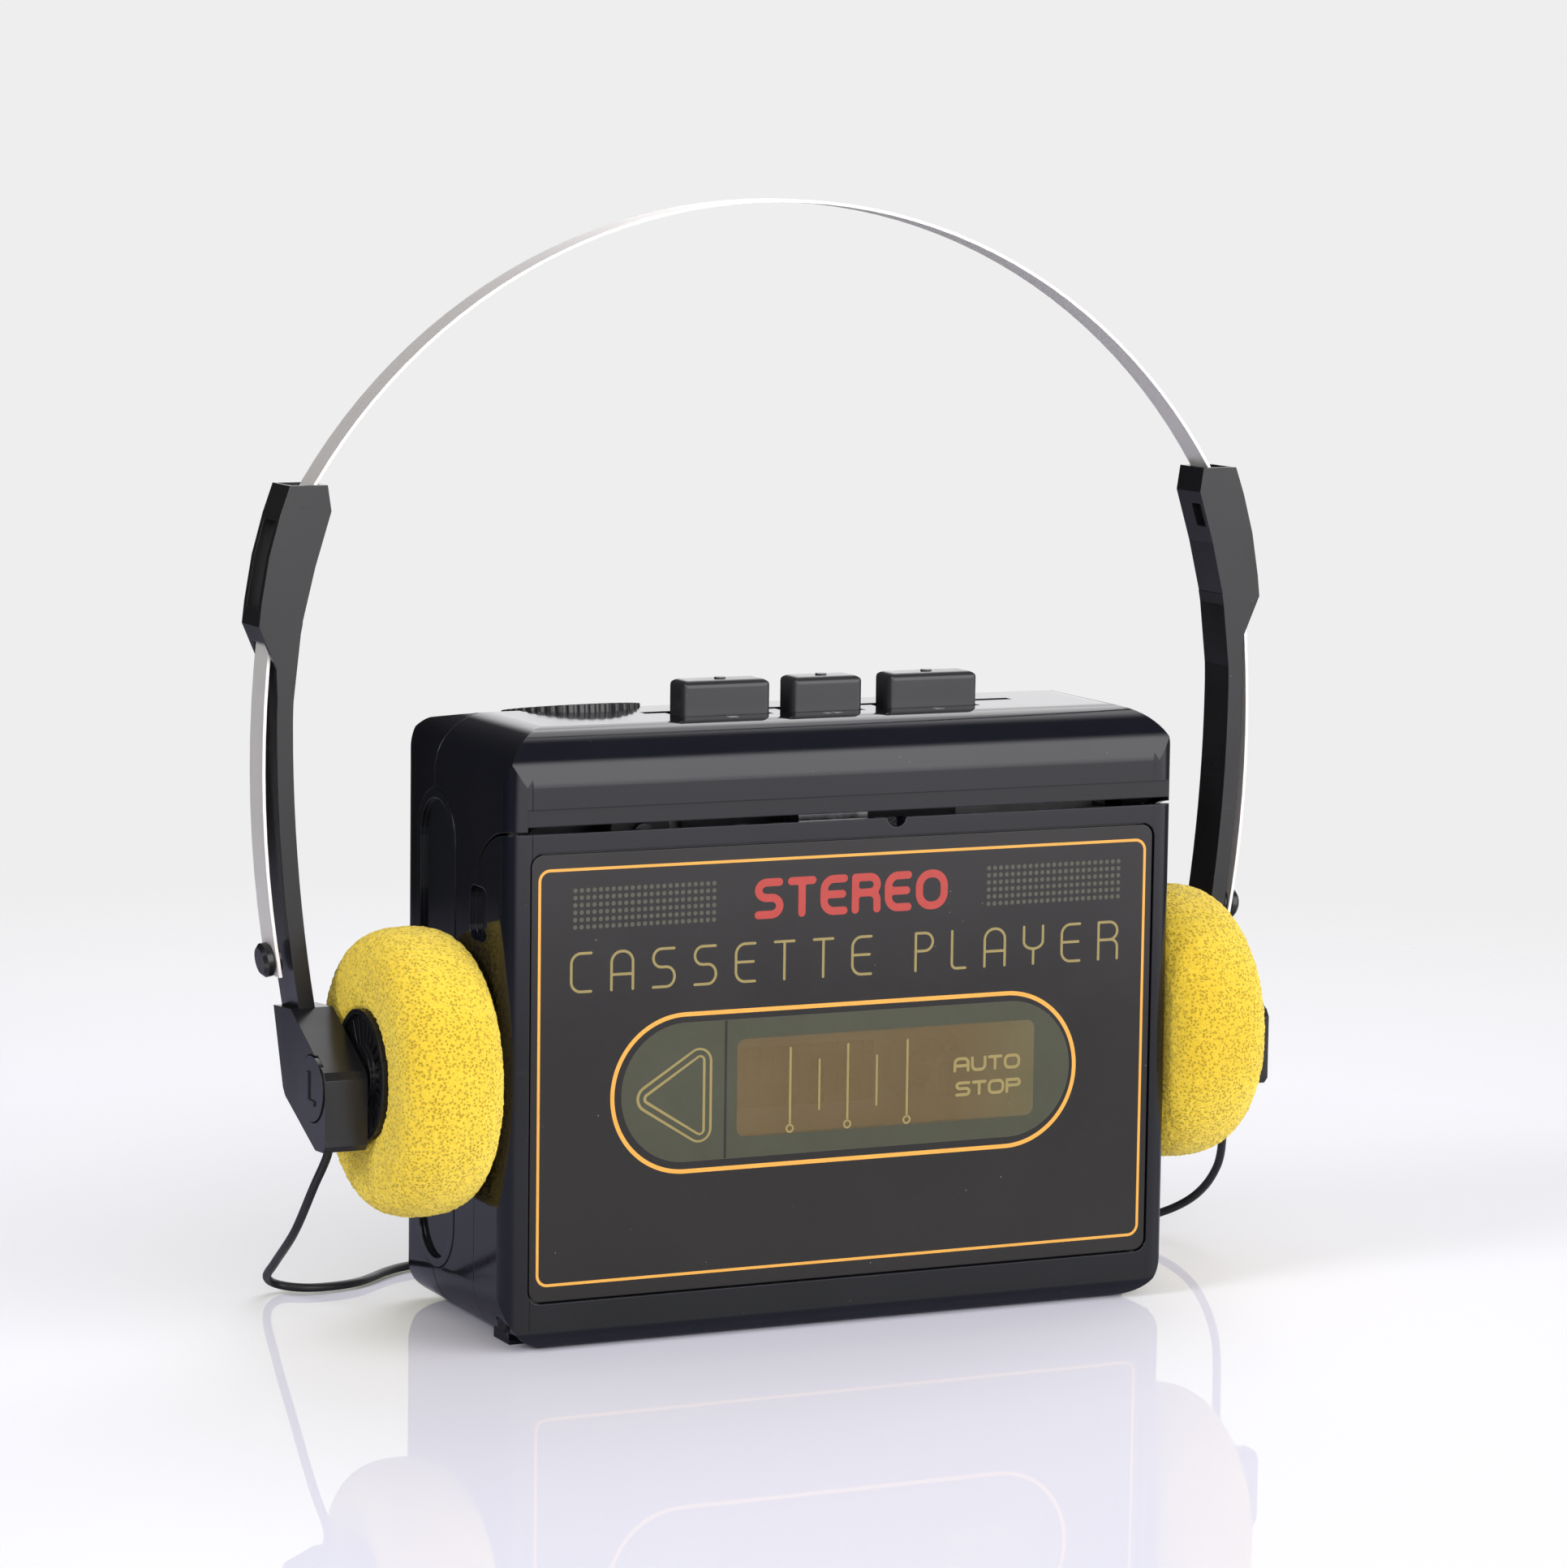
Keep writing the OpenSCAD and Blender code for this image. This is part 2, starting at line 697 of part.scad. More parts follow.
module flywheel() {
  color("#b08d4a") translate([capstan_x, 0, capstan_z]) {
    rod_y(0, 0, capstan_r, chassis_y - 12, chassis_back + 6);
    rod_y(0, 0, pinion_r, chassis_back + 1.5, chassis_back + 2.9);
    difference() {
      rod_y(0, 0, flywheel_radius, chassis_back + 2.9, chassis_back + 6);
      rotate([-90, 0, 0]) translate([0, 0, belt_y]) rotate_extrude()
        translate([belt_r + 2, 0]) square([4, 1.6], center = true);
      difference() {
        rod_y(0, 0, flywheel_radius - 3.4, chassis_back + 5, chassis_back + 7);
        rod_y(0, 0, 4, chassis_back + 4, chassis_back + 8);
      }
    }
  }
}

module idler_wheel() {
  color("#1f1f21") difference() {
    union() {
      rod_y(-28.4, 56.3, idler_r, chassis_back + 1.5, chassis_back + 2.6);
      rod_y(-28.4, 56.3, 1.04, chassis_y - 0.5, chassis_back + 2);
    }
    for (a = [0:90:270]) translate([-28.4, 0, 56.3]) rotate([0, a, 0]) rod_y(4.6, 0, 1.5, -5, 2);
  }
}

// Belt loop drawn as two circles joined by their outer tangents
module belt_outline(t) {
  ra = belt_r + t;
  rb = pulley_r + t;
  run = [motor_x - capstan_x, motor_z - capstan_z];
  len = norm(run);
  lean = atan2(run[1], run[0]);
  tilt = acos((ra - rb) / len);
  pa = [capstan_x, capstan_z];
  pb = [motor_x, motor_z];
  up = [cos(lean + tilt), sin(lean + tilt)];
  dn = [cos(lean - tilt), sin(lean - tilt)];
  translate(pa) circle(ra);
  translate(pb) circle(rb);
  polygon([pa + ra * dn, pb + rb * dn, pb + rb * up, pa + ra * up]);
}

module drive_belt() {
  color("#1a1a1b") difference() {
    slab_y(belt_y - 0.45, belt_y + 0.45) belt_outline(1);
    slab_y(belt_y - 1, belt_y + 1) belt_outline(0.3);
  }
}

module motor() {
  color("#a5a8ab") {
    difference() {
      rod_y(motor_x, motor_z, motor_r, chassis_back + 6.2, board_y - 0.6);
      rod_y(motor_x, motor_z, motor_r + 1, 5.6, 5.9);
    }
    rod_y(motor_x, motor_z, motor_r - 0.8, 5, 7);
    rod_y(motor_x, motor_z, 1, chassis_back + 1, chassis_back + 7);
    for (a = [-60, 0, 60]) translate([motor_x, 0, motor_z]) rotate([0, a, 0])
      rod_y(9.5, 0, 1.4, chassis_back, chassis_back + 6.4);
  }
}

module motor_pulley() {
  color("#b59a5a") translate([motor_x, 0, motor_z]) difference() {
    union() {
      rod_y(0, 0, pulley_r + 1.2, belt_y - 1.6, belt_y - 0.8);
      rod_y(0, 0, pulley_r, belt_y - 1, belt_y + 1);
      rod_y(0, 0, pulley_r + 1.2, belt_y + 0.8, belt_y + 1.5);
    }
    rod_y(0, 0, 1.03, -6, 6);
  }
}

// Sliding plate that carries the tape head down into the cassette
module head_plate() {
  y0 = chassis_y - 1.5;
  color("#9fa2a5") difference() {
    union() {
      block(-22, 26, y0, y0 + 1, headrun_z, 86);
      block(12, 24, y0 - 1.6, y0 + 1, 82, 83);
    }
    for (x = [-12, 12]) slab_y(y0 - 1, y0 + 2) rrect(x, 80.6 + 2, 2.7, 6.9, 1.3);
    block(-24.5, 31, y0 - 0.1, y0 + 2, 83, 87);
  }
}

module tape_head() {
  color("#c9ccce") {
    block(-6, 6, chassis_y - 10.4, chassis_y - 1.5, 78.2, 82.6);
    intersection() {
      block(-6, 6, chassis_y - 10.4, chassis_y - 2.4, 74.8, 79);
      rod_y(0, 83, 8.4, chassis_y - 11, chassis_y - 2);
    }
    block(-7.4, 7.4, chassis_y - 3.1, chassis_y - 1.5, 80.5, 82.6);
  }
}

module pinch_arm() {
  y0 = chassis_y - 4;
  color("#8a8d90") difference() {
    union() {
      slab_y(y0, y0 + 1) {
        translate([pinch_axis_x, headrun_z]) circle(2.6);
        translate([capstan_x, headrun_z + 2]) circle(2.6);
        polygon([[pinch_axis_x, headrun_z - 2.6], [capstan_x, headrun_z - 0.4],
                 [capstan_x, headrun_z + 4.4], [pinch_axis_x, headrun_z + 2.6]]);
      }
      rod_y(capstan_x, headrun_z + 2, 1, y0 - 7.4, y0 + 0.5);
      rod_y(capstan_x, headrun_z + 2, 1.6, y0 - 7.8, y0 - 6.9);
    }
    rod_y(pinch_axis_x, headrun_z, 1.24, y0 - 1, y0 + 2);
  }
}

module pinch_roller() {
  color("#26211e") difference() {
    rod_y(capstan_x, headrun_z + 2, pinch_r, chassis_y - 10.5, chassis_y - 4.4);
    rod_y(capstan_x, headrun_z + 2, 1.04, chassis_y - 12, chassis_y - 4);
  }
}

// ---- electronics ----

module circuit_board() {
  color("#7b5b2d") difference() {
    block(-54, 42, board_y, board_y + 1.4, 40, 82);
    for (x = [-50, 38]) rod_y(x, 44, 1.6, board_y - 1, board_y + 3);
    for (s = [-1, 1]) rod_y(s * screw_x, 86, 6, board_y - 1, board_y + 3);
  }
}

module board_parts() {
  y1 = board_y + 1.4;
  color("#2a2f3a") {
    for (x = [-40, -31, -12, 3]) rod_y(x, 60, 3.1, y1, y1 + 7.2);
    block(-24, -4, y1, y1 + 3.6, 68, 75);
    block(12, 20, y1, y1 + 4.4, 64, 76);
    for (k = [0:5]) rod_x(y1 + 1.1, 46 + k * 2, 0.9, 20 + k % 2, 26 + k % 2);
    for (k = [0:4]) rod_z(-46 + k * 9, y1 + 1.1, 0.9, 48, 54);
  }
}

module volume_pot() {
  color("#56595c") {
    on_slope() {
      block(vol_x - 5.5, vol_x + 5.5, vol_y - 5.2, vol_y + 6, 84, 90.4);
      rod_z(vol_x, vol_y, 3.4, 90, 91.2);
      rod_z(vol_x, vol_y, 1.45, 91, 94.6);
    }
    block(vol_x - 3.2, vol_x + 3.2, board_y + 1.45, board_y + 2.4, 79, 84.4);
  }
}

module volume_wheel() {
  color("#191b20") on_slope() difference() {
    rod_z(vol_x, vol_y, volume_radius, 92.8, case_height + volume_proud);
    rod_z(vol_x, vol_y, 1.5, 92, 95);
    for (a = [0:9:351]) translate([vol_x, vol_y, 0]) rotate([0, 0, a])
      rod_z(volume_radius + 0.2, 0, 0.55, 92, 98);
    translate([vol_x, vol_y, case_height + volume_proud]) rotate_extrude()
      translate([volume_radius - 2.2, 0]) circle(0.5);
  }
}

module headphone_jack() {
  color("#1d1e22") difference() {
    union() {
      block(44, half_w - wall, plug_y - 4.6, plug_y + 4.6, plug_z - 4.6, plug_z + 4.6);
      rod_x(plug_y, plug_z, jack_collar_r, half_w - wall - 0.1, half_w - 0.4);
    }
    rod_x(plug_y, plug_z, 1.85, 43, half_w + 1);
    rod_x(plug_y, plug_z, 2.9, half_w - 1, half_w + 1);
  }
}

module battery_lid() {
  color("#15171d") {
    bar_x(tray_left - 0.4, tray_right) {
      translate([back_reach - lid_thick, tray_low - 0.7]) square([lid_thick, tray_high - tray_low + 0.7]);
      translate([back_reach - lid_thick / 2, tray_high]) circle(lid_thick / 2);
    }
    for (k = [0:4]) block(-34, -20, back_reach - 0.1, back_reach + 0.35, 8 + k * 1.6, 8.8 + k * 1.6);
    for (x = [-44, -10]) block(x - 2, x + 2, rear_in_y - 1.4, back_reach - lid_thick + eps, tray_low + 0.5, tray_low + 1.7);
  }
}

module battery_contacts() {
  color("#c6c9cb") {
    for (z = [12.9, 28.2]) {
      block(tray_left, tray_left + 0.4, 8, 17.6, z - 5, z + 5);
      block(tray_right - 0.4, tray_right, 8, 17.6, z - 5, z + 5);
      rod_x(12.8, z, 1.6, tray_right - 1.2, tray_right - 0.3);
    }
    for (k = [0:4], z = [12.9, 28.2]) translate([tray_left + 0.9 + k * 1.1, 12.8, z]) rotate([0, 90, 0])
      rotate_extrude($fn = 24) translate([3.6 - k * 0.35, 0]) circle(0.6, $fn = 14);
  }
}

// ---- headset ----

// Ring sector in (x, z) between two directions
module ring_sector(c, r, t, a0, a1) {
  am = (a0 + a1) / 2;
  intersection() {
    translate(c) difference() {
      circle(r + t / 2, $fn = 120);
      circle(r - t / 2, $fn = 120);
    }
    translate(c) polygon([[0, 0], wedge * [cos(a0), sin(a0)], 1.5 * wedge * [cos(am), sin(am)],
                          wedge * [cos(a1), sin(a1)]]);
  }
}

module headband() {
  color("#b9b6b0") difference() {
    slab_y(band_y - band_width / 2, band_y + band_width / 2) {
      ring_sector(band_c1, band_radius, band_thick, bend_a - eps, 180 - bend_a + eps);
      for (m = [0, 1]) mirror([m, 0]) {
        ring_sector(band_c2, bend_r, band_thick, leg_a - eps, bend_a + 0.05);
        ring_sector(band_c3, leg_r, band_thick, leg_end_a, leg_a + 0.02);
      }
    }
    for (m = [0, 1]) mirror([m, 0, 0]) rivet_place() translate([0, 0, -1]) cylinder(r = rivet_r + 0.05, h = 2);
  }
}

module rivet_place() {
  x = band_c3[0] + sqrt(pow(leg_r, 2) - pow(knob_z - band_c3[1], 2));
  translate([x, band_y, knob_z]) rotate([0, 99, 0]) children();
}

// Stop rivet at the end of each leg of the band
module band_knob() {
  rivet_place() {
    translate([0, 0, 0.28]) cylinder(r = 2.3, h = 0.42);
    translate([0, 0, 0.6]) cylinder(r = 2.7, h = 0.9);
    translate([0, 0, 1.5]) cylinder(r1 = 2.7, r2 = 2.1, h = 0.6);
    translate([0, 0, -0.8]) cylinder(r = 2.5, h = 0.52);
    translate([0, 0, -0.7]) cylinder(r = rivet_r, h = 1.7);
  }
}

module band_knobs() {
  color("#17181c") {
    band_knob();
    mirror([1, 0, 0]) band_knob();
  }
}

module arm_outline() {
  intersection() {
    translate(arm_lo_c) difference() {
      circle(arm_lo_r + arm_thick, $fn = 160);
      circle(arm_lo_r, $fn = 160);
    }
    translate([70, 47]) square([20, 48.1]);
  }
  intersection() {
    translate(arm_up_c) difference() {
      circle(arm_up_r + arm_thick, $fn = 96);
      circle(arm_up_r, $fn = 96);
    }
    translate([70, 95]) square([20, 16]);
  }
  polygon([[82.2, 99], [84.8, 99], [85, 104], [87.8, 110.5], [87.4, 114], [86.2, 121], [84.4, 127.5],
           [82.8, 132], [76.7, 132], [76.1, 128], [78.7, 119.5], [80.9, 110.5]]);
}

module arm(side) {
  y0 = band_y - arm_wide / 2;
  y1 = band_y + arm_wide / 2;
  difference() {
    slab_y(y0, y1) arm_outline();
    slab_y(band_y - band_width / 2 - fit_gap, band_y + band_width / 2 + fit_gap)
      polygon([[77.1, 133], [80.15, 127.5], [82.6, 121], [84.15, 114], [84.9, 107], [85.1, 100], [90, 100],
               [86.7, 106.5], [86.55, 110.5], [86.3, 114], [85.4, 118], [83.75, 127.4], [82.1, 133]]);
    slab_y(band_y - band_width / 2 + 0.2, band_y + band_width / 2 - 0.2)
      polygon([[83.4, 126.6], [90, 126.6], [90, 113.2], [84.6, 113.2]]);
    slab_y(y0 + 1, y0 + 4) polygon([[78.2, 126], [79.4, 122.2], [77, 122.2], [75, 126]]);
  }
}

// Angled block that joins the arm to the ball joint of the ear piece
module ear_block(side) {
  difference() {
    union() {
      bar_x(block_in, block_out) polygon([[12.9, 50.6], [5.1, 51.2], [-9.6, 43.6], [-10.4, 42.4],
        [-10.4, 32.2], [-9.4, 31.2], [-6, 31], [7.6, 37.2], [8.6, 38.4]]);
      translate([block_in - 2.6, ear_y, ear_z]) sphere(2.9);
      rod_x(ear_y, ear_z, 1.9, block_in - 2, block_in + 1);
    }
    rod_x(ear_y, ear_z - 1.6, 5.3, block_out - 0.5, block_out + 1);
    slab_y(band_y - arm_wide / 2, band_y + arm_wide / 2) arm_outline();
    rod_z(cord_exit_x, cord_exit_y, 2, 28, 42);
  }
}

module badge(letter) {
  color("#1a1c22") {
    rod_x(ear_y, ear_z - 1.6, 5.1, block_out - 0.5, block_out + 0.2);
    x0 = block_out + 0.1;
    x1 = block_out + 0.45;
    z0 = ear_z - 4.1;
    translate([0, ear_y, 0]) {
      if (letter == "L") {
        block(x0, x1, 0.8, 1.6, z0, z0 + 5);
        block(x0, x1, -1.6, 1.6, z0, z0 + 0.8);
      }
      if (letter == "R") {
        block(x0, x1, -1.6, -0.8, z0, z0 + 5);
        block(x0, x1, -1.6, 1.4, z0 + 4.2, z0 + 5);
        block(x0, x1, 0.8, 1.6, z0 + 2.5, z0 + 4.9);
        block(x0, x1, -1.6, 1.5, z0 + 2, z0 + 2.8);
        bar_x(x0, x1) polygon([[-0.3, z0 + 2.2], [0.7, z0 + 2.2], [1.7, z0], [0.7, z0]]);
      }
    }
  }
}

// Driver housing with radial slots round the bore that holds the ball
module housing() {
  translate([0, ear_y, ear_z]) difference() {
    union() {
      rod_x(0, 0, 15.8, ear_in + 4.2, ear_in + 8);
      rod_x(0, 0, 15.2, ear_in + 7.9, ear_in + 12.6);
      rod_x(0, 0, 10.2, ear_in + 12.5, ear_out + 0.2);
    }
    rod_x(0, 0, 14.2, ear_in + 4, ear_in + 8.6);
    difference() {
      rod_x(0, 0, 9.4, ear_out - 0.5, ear_out + 1);
      rod_x(0, 0, 4.6, ear_out - 1, ear_out + 1);
    }
    for (a = [0:15:345]) rotate([a, 0, 0]) block(ear_out - 1.3, ear_out + 1, -0.35, 0.35, 4.8, 9.2);
    rod_x(0, 0, 2.98, block_in - 5.8, ear_out + 1);
  }
}

module driver() {
  color("#5a5d62") translate([0, ear_y, ear_z]) {
    rod_x(0, 0, 14.2, ear_in + 4.4, ear_in + 5.6);
    rod_x(0, 0, 7, ear_in + 5.5, ear_in + 8.4);
  }
}

// Open foam cushion that wraps round the driver housing
module pad() {
  r = pad_diameter / 2;
  t = pad_thick / 2;
  color("#f0d732") translate([ear_in, ear_y, ear_z]) rotate([0, 90, 0]) rotate_extrude($fn = 64) difference() {
    union() {
      square([r - t, pad_thick]);
      intersection() {
        translate([r - t, t]) circle(t);
        translate([0, 0]) square([r, pad_thick]);
      }
    }
    translate([-1, 3.6]) square([17.2, 9.5]);
    translate([-1, 4]) square([11.6, pad_thick]);
  }
}

module arm_left() {
  color("#17191e") mirror([1, 0, 0]) arm("L");
}

module arm_right() {
  color("#17191e") arm("R");
}

module ear_block_left() {
  color("#17191e") mirror([1, 0, 0]) ear_block("L");
}

module ear_block_right() {
  color("#17191e") ear_block("R");
}

module badge_left() {
  mirror([1, 0, 0]) badge("L");
}

module badge_right() {
  badge("R");
}

module housing_left() {
  color("#1b1c20") mirror([1, 0, 0]) housing();
}

module housing_right() {
  color("#1b1c20") housing();
}

module driver_left() {
  mirror([1, 0, 0]) driver();
}

module driver_right() {
  driver();
}

module pad_left() {
  mirror([1, 0, 0]) pad();
}

module pad_right() {
  pad();
}

// ---- cords ----

function curve_at(p0, p1, p2, p3, t) = 0.5 * (2 * p1 + (p2 - p0) * t + (2 * p0 - 5 * p1 + 4 * p2 - p3) * t * t
  + (3 * p1 - p0 - 3 * p2 + p3) * t * t * t);
function route_point(p, i) = p[max(0, min(len(p) - 1, i))];
function smooth_route(p, n) = concat([for (i = [0:len(p) - 2], k = [0:n - 1])
  curve_at(route_point(p, i - 1), p[i], p[i + 1], route_point(p, i + 2), k / n)], [p[len(p) - 1]]);
function unit(v) = v / norm(v);
function heading(p, i) = unit(route_point(p, i + 1) - route_point(p, i - 1));
function carried(n, t) = unit(n - (n * t) * t);
function side_dirs(p, i, n) = i >= len(p) ? [] :
  let (m = carried(n, heading(p, i))) concat([m], side_dirs(p, i + 1, m));
function ring_points(p, r, sides, dirs) = [for (i = [0:len(p) - 1], k = [0:sides - 1])
  let (t = heading(p, i), a = 360 * k / sides) p[i] + r * (cos(a) * dirs[i] + sin(a) * cross(t, dirs[i]))];

module swept_tube(p, r, sides) {
  rings = len(p);
  first = abs(heading(p, 0)[2]) > 0.7 ? [0, 1, 0] : [0, 0, 1];
  pts = ring_points(p, r, sides, side_dirs(p, 0, first));
  polyhedron(points = pts, faces = concat(
    [[for (k = [0:sides - 1]) k]],
    [for (i = [0:rings - 2], k = [0:sides - 1])
      [i * sides + k, (i + 1) * sides + k, (i + 1) * sides + (k + 1) % sides, i * sides + (k + 1) % sides]],
    [[for (k = [sides - 1:-1:0]) (rings - 1) * sides + k]]));
}

left_route = [
  [-79, -2.2, 35], [-79, -2.2, 30], [-80.3, 1, 23.7], [-80.6, 8.6, 15.3], [-79, 22, 7.6],
  [-77.2, 31, 3.2], [-74.2, 33.2, 1.2], [-69.6, 30.6, 0.9], [-61.5, 31.8, 0.9], [-50, 40, 0.9],
  [-32, 42.6, 0.9], [-16, 38.6, 1], [-3.5, 35.2, 1.7]
];
right_route = [
  [79, -2.2, 35], [79, -2.2, 30], [80, -0.6, 25], [83.4, 7, 14], [82, 16, 6],
  [72, 23.4, 1.6], [54, 24.6, 0.9], [30, 24.4, 0.9], [8, 24.2, 0.9], [-10, 24.2, 0.9],
  [-13, 25.4, 0.9], [-14.3, 28.5, 0.9], [-13, 31.6, 1.1], [-10, 32.8, 1.3], [-3.5, 32.8, 1.7]
];
main_route = [
  [49.9, 34, 5.4], [51.6, 34, 5.4], [56, 34.6, 8.5], [60.6, 34.6, 15], [63, 33.4, 26], [63.6, 31.5, 42],
  [63.2, 29.8, 60], [62.6, 29.4, 70], [62.4, 27.2, 76], [62.4, 23.2, 77]
];

module cord_left() {
  color("#1c1c1e") swept_tube(smooth_route(left_route, 2), thin_cord / 2, 8);
}

module cord_right() {
  color("#1c1c1e") swept_tube(smooth_route(right_route, 2), thin_cord / 2, 8);
}

module cord_main() {
  color("#1c1c1e") swept_tube(smooth_route(main_route, 2), main_cord / 2, 8);
}

module cord_splitter() {
  color("#1c1c1e") translate([0, entry_y, 1.9]) intersection() {
    bar_x(-3.5, 10) rrect(0, 0, 5.6, 3.4, 1.4);
    translate([0, 0, -3]) linear_extrude(6) polygon([[-3.5, -2.8], [-3.5, 2.8], [3, 2.8], [10, 1.4], [10, -1.4], [3, -2.8]]);
  }
}

module cord_coil() {
  color("#1c1c1e") {
    translate([coil_x, coil_y, 3.3]) rotate_extrude() translate([coil_r, 0]) rrect(0, 0, 10, 6.2, 3);
    rod_x(entry_y, 1.9, main_cord / 2, 10, coil_x);
    rod_x(entry_y, 5.4, main_cord / 2, coil_x, 49.9);
  }
}

module cord_tie() {
  color("#2a2a2c") translate([coil_x, coil_y + coil_r, 3.35]) difference() {
    bar_x(-1.5, 1.5) rrect(0, 0, 11.6, 6.7, 3.3);
    bar_x(-2, 2) rrect(0, 0, 10.6, 6.3, 3.05);
  }
}

module plug() {
  color("#1b1c1f") {
    rod_x(plug_y, plug_z, 2.7, half_w - 0.9, half_w + 2);
    intersection() {
      bar_x(half_w + 1.6, half_w + 8.2) rrect(plug_y + 1.5, plug_z, 10.4, 7.4, 2.6);
      block(half_w + 1, half_w + 9, plug_y - 10, plug_y + 12, plug_z - 5, plug_z + 5);
    }
    rod_y(62.4, plug_z, 2.1, plug_y + 4, plug_y + 9.6);
    rod_y(62.4, plug_z, 1.7, plug_y + 9.5, plug_y + 12.2);
    rod_x(plug_y, plug_z, 1.75, 45, half_w);
  }
}
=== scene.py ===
import json
import math

import bpy
import numpy as np
from mathutils import Matrix, Vector
from mathutils.geometry import tessellate_polygon


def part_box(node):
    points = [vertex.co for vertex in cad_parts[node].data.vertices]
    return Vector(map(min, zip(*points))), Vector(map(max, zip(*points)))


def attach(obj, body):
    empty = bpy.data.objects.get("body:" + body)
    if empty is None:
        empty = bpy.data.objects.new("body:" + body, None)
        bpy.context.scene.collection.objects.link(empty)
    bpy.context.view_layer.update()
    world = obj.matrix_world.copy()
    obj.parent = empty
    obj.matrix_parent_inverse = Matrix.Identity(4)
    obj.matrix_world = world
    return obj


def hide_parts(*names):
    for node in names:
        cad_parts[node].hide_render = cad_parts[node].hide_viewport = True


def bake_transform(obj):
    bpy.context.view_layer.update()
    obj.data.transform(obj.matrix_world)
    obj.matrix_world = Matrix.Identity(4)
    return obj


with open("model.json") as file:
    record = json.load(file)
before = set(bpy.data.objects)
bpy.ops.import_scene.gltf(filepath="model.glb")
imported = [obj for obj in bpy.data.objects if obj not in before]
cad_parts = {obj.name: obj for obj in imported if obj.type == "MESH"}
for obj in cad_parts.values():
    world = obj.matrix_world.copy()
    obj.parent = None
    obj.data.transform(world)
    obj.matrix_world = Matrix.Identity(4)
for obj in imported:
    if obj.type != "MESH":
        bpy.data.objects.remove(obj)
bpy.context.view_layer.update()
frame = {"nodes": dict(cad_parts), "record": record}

MM = 0.001


# ---- camera ----

CAMERA_AT = (-0.36326, -0.77192, 0.19222)
CAMERA_AZ = -0.4383
CAMERA_EL = 0.127
CAMERA_ROLL = 0.013
LENS = 124.04
SENSOR = 36.0


def make_camera():
    data = bpy.data.cameras.new("camera")
    data.lens, data.sensor_width = LENS, SENSOR
    data.clip_start, data.clip_end = 0.05, 20.0
    camera = bpy.data.objects.new("camera", data)
    bpy.context.scene.collection.objects.link(camera)
    back = Vector((math.sin(CAMERA_AZ) * math.cos(CAMERA_EL),
                   -math.cos(CAMERA_AZ) * math.cos(CAMERA_EL), math.sin(CAMERA_EL)))
    right = Vector((0, 0, 1)).cross(back).normalized()
    up = back.cross(right)
    c, s = math.cos(CAMERA_ROLL), math.sin(CAMERA_ROLL)
    right, up = right * c + up * s, up * c - right * s
    turn = Matrix((right, up, back)).transposed().to_4x4()
    camera.matrix_world = Matrix.Translation(CAMERA_AT) @ turn
    bpy.context.scene.camera = camera


make_camera()


# ---- mesh helpers ----

def mesh_object(name, verts, faces, smooth=True):
    mesh = bpy.data.meshes.new(name)
    mesh.from_pydata([tuple(map(float, v)) for v in verts], [], [tuple(map(int, f)) for f in faces])
    mesh.validate()
    mesh.polygons.foreach_set("use_smooth", [smooth] * len(mesh.polygons))
    obj = bpy.data.objects.new(name, mesh)
    bpy.context.scene.collection.objects.link(obj)
    return obj


def curve_at(p0, p1, p2, p3, t):
    p0, p1, p2, p3 = (np.array(p, float) for p in (p0, p1, p2, p3))
    return 0.5 * (2 * p1 + (p2 - p0) * t + (2 * p0 - 5 * p1 + 4 * p2 - p3) * t ** 2
                  + (3 * p1 - p0 - 3 * p2 + p3) * t ** 3)


def smooth_route(points, steps):
    last = len(points) - 1
    out = []
    for i in range(last):
        near = (points[max(0, i - 1)], points[i], points[i + 1], points[min(last, i + 2)])
        out += [curve_at(*near, k / steps) for k in range(steps)]
    return np.array(out + [np.array(points[-1], float)])


def even_steps(path, step):
    seg = np.linalg.norm(np.diff(path, axis=0), axis=1)
    along = np.concatenate([[0], np.cumsum(seg)])
    count = max(3, int(round(along[-1] / step)) + 1)
    at = np.linspace(0, along[-1], count)
    return np.stack([np.interp(at, along, path[:, k]) for k in range(3)], 1)


def tube(name, path, radius, sides=12):
    """Round cord along a path, carried without twist, with domed ends."""
    path = np.asarray(path, float)
    heading = np.gradient(path, axis=0)
    heading /= np.linalg.norm(heading, axis=1)[:, None]
    side = np.cross(heading[0], (0.31, 0.17, 0.93))
    side /= np.linalg.norm(side)
    rings = []
    angles = np.linspace(0, 2 * math.pi, sides, endpoint=False)
    for centre, t in zip(path, heading):
        side = side - t * side.dot(t)
        side /= np.linalg.norm(side)
        other = np.cross(t, side)
        rings.append(centre + radius * (np.cos(angles)[:, None] * side + np.sin(angles)[:, None] * other))
    verts = np.concatenate(rings)
    faces = []
    for i in range(len(path) - 1):
        a, b = i * sides, (i + 1) * sides
        faces += [(a + k, a + (k + 1) % sides, b + (k + 1) % sides, b + k) for k in range(sides)]
    tips = np.array([path[0] - heading[0] * radius * 0.3, path[-1] + heading[-1] * radius * 0.3])
    first, last = len(verts), len(verts) + 1
    verts = np.concatenate([verts, tips])
    end = (len(path) - 1) * sides
    faces += [(first, (k + 1) % sides, k) for k in range(sides)]
    faces += [(last, end + k, end + (k + 1) % sides) for k in range(sides)]
    return mesh_object(name, verts, faces)


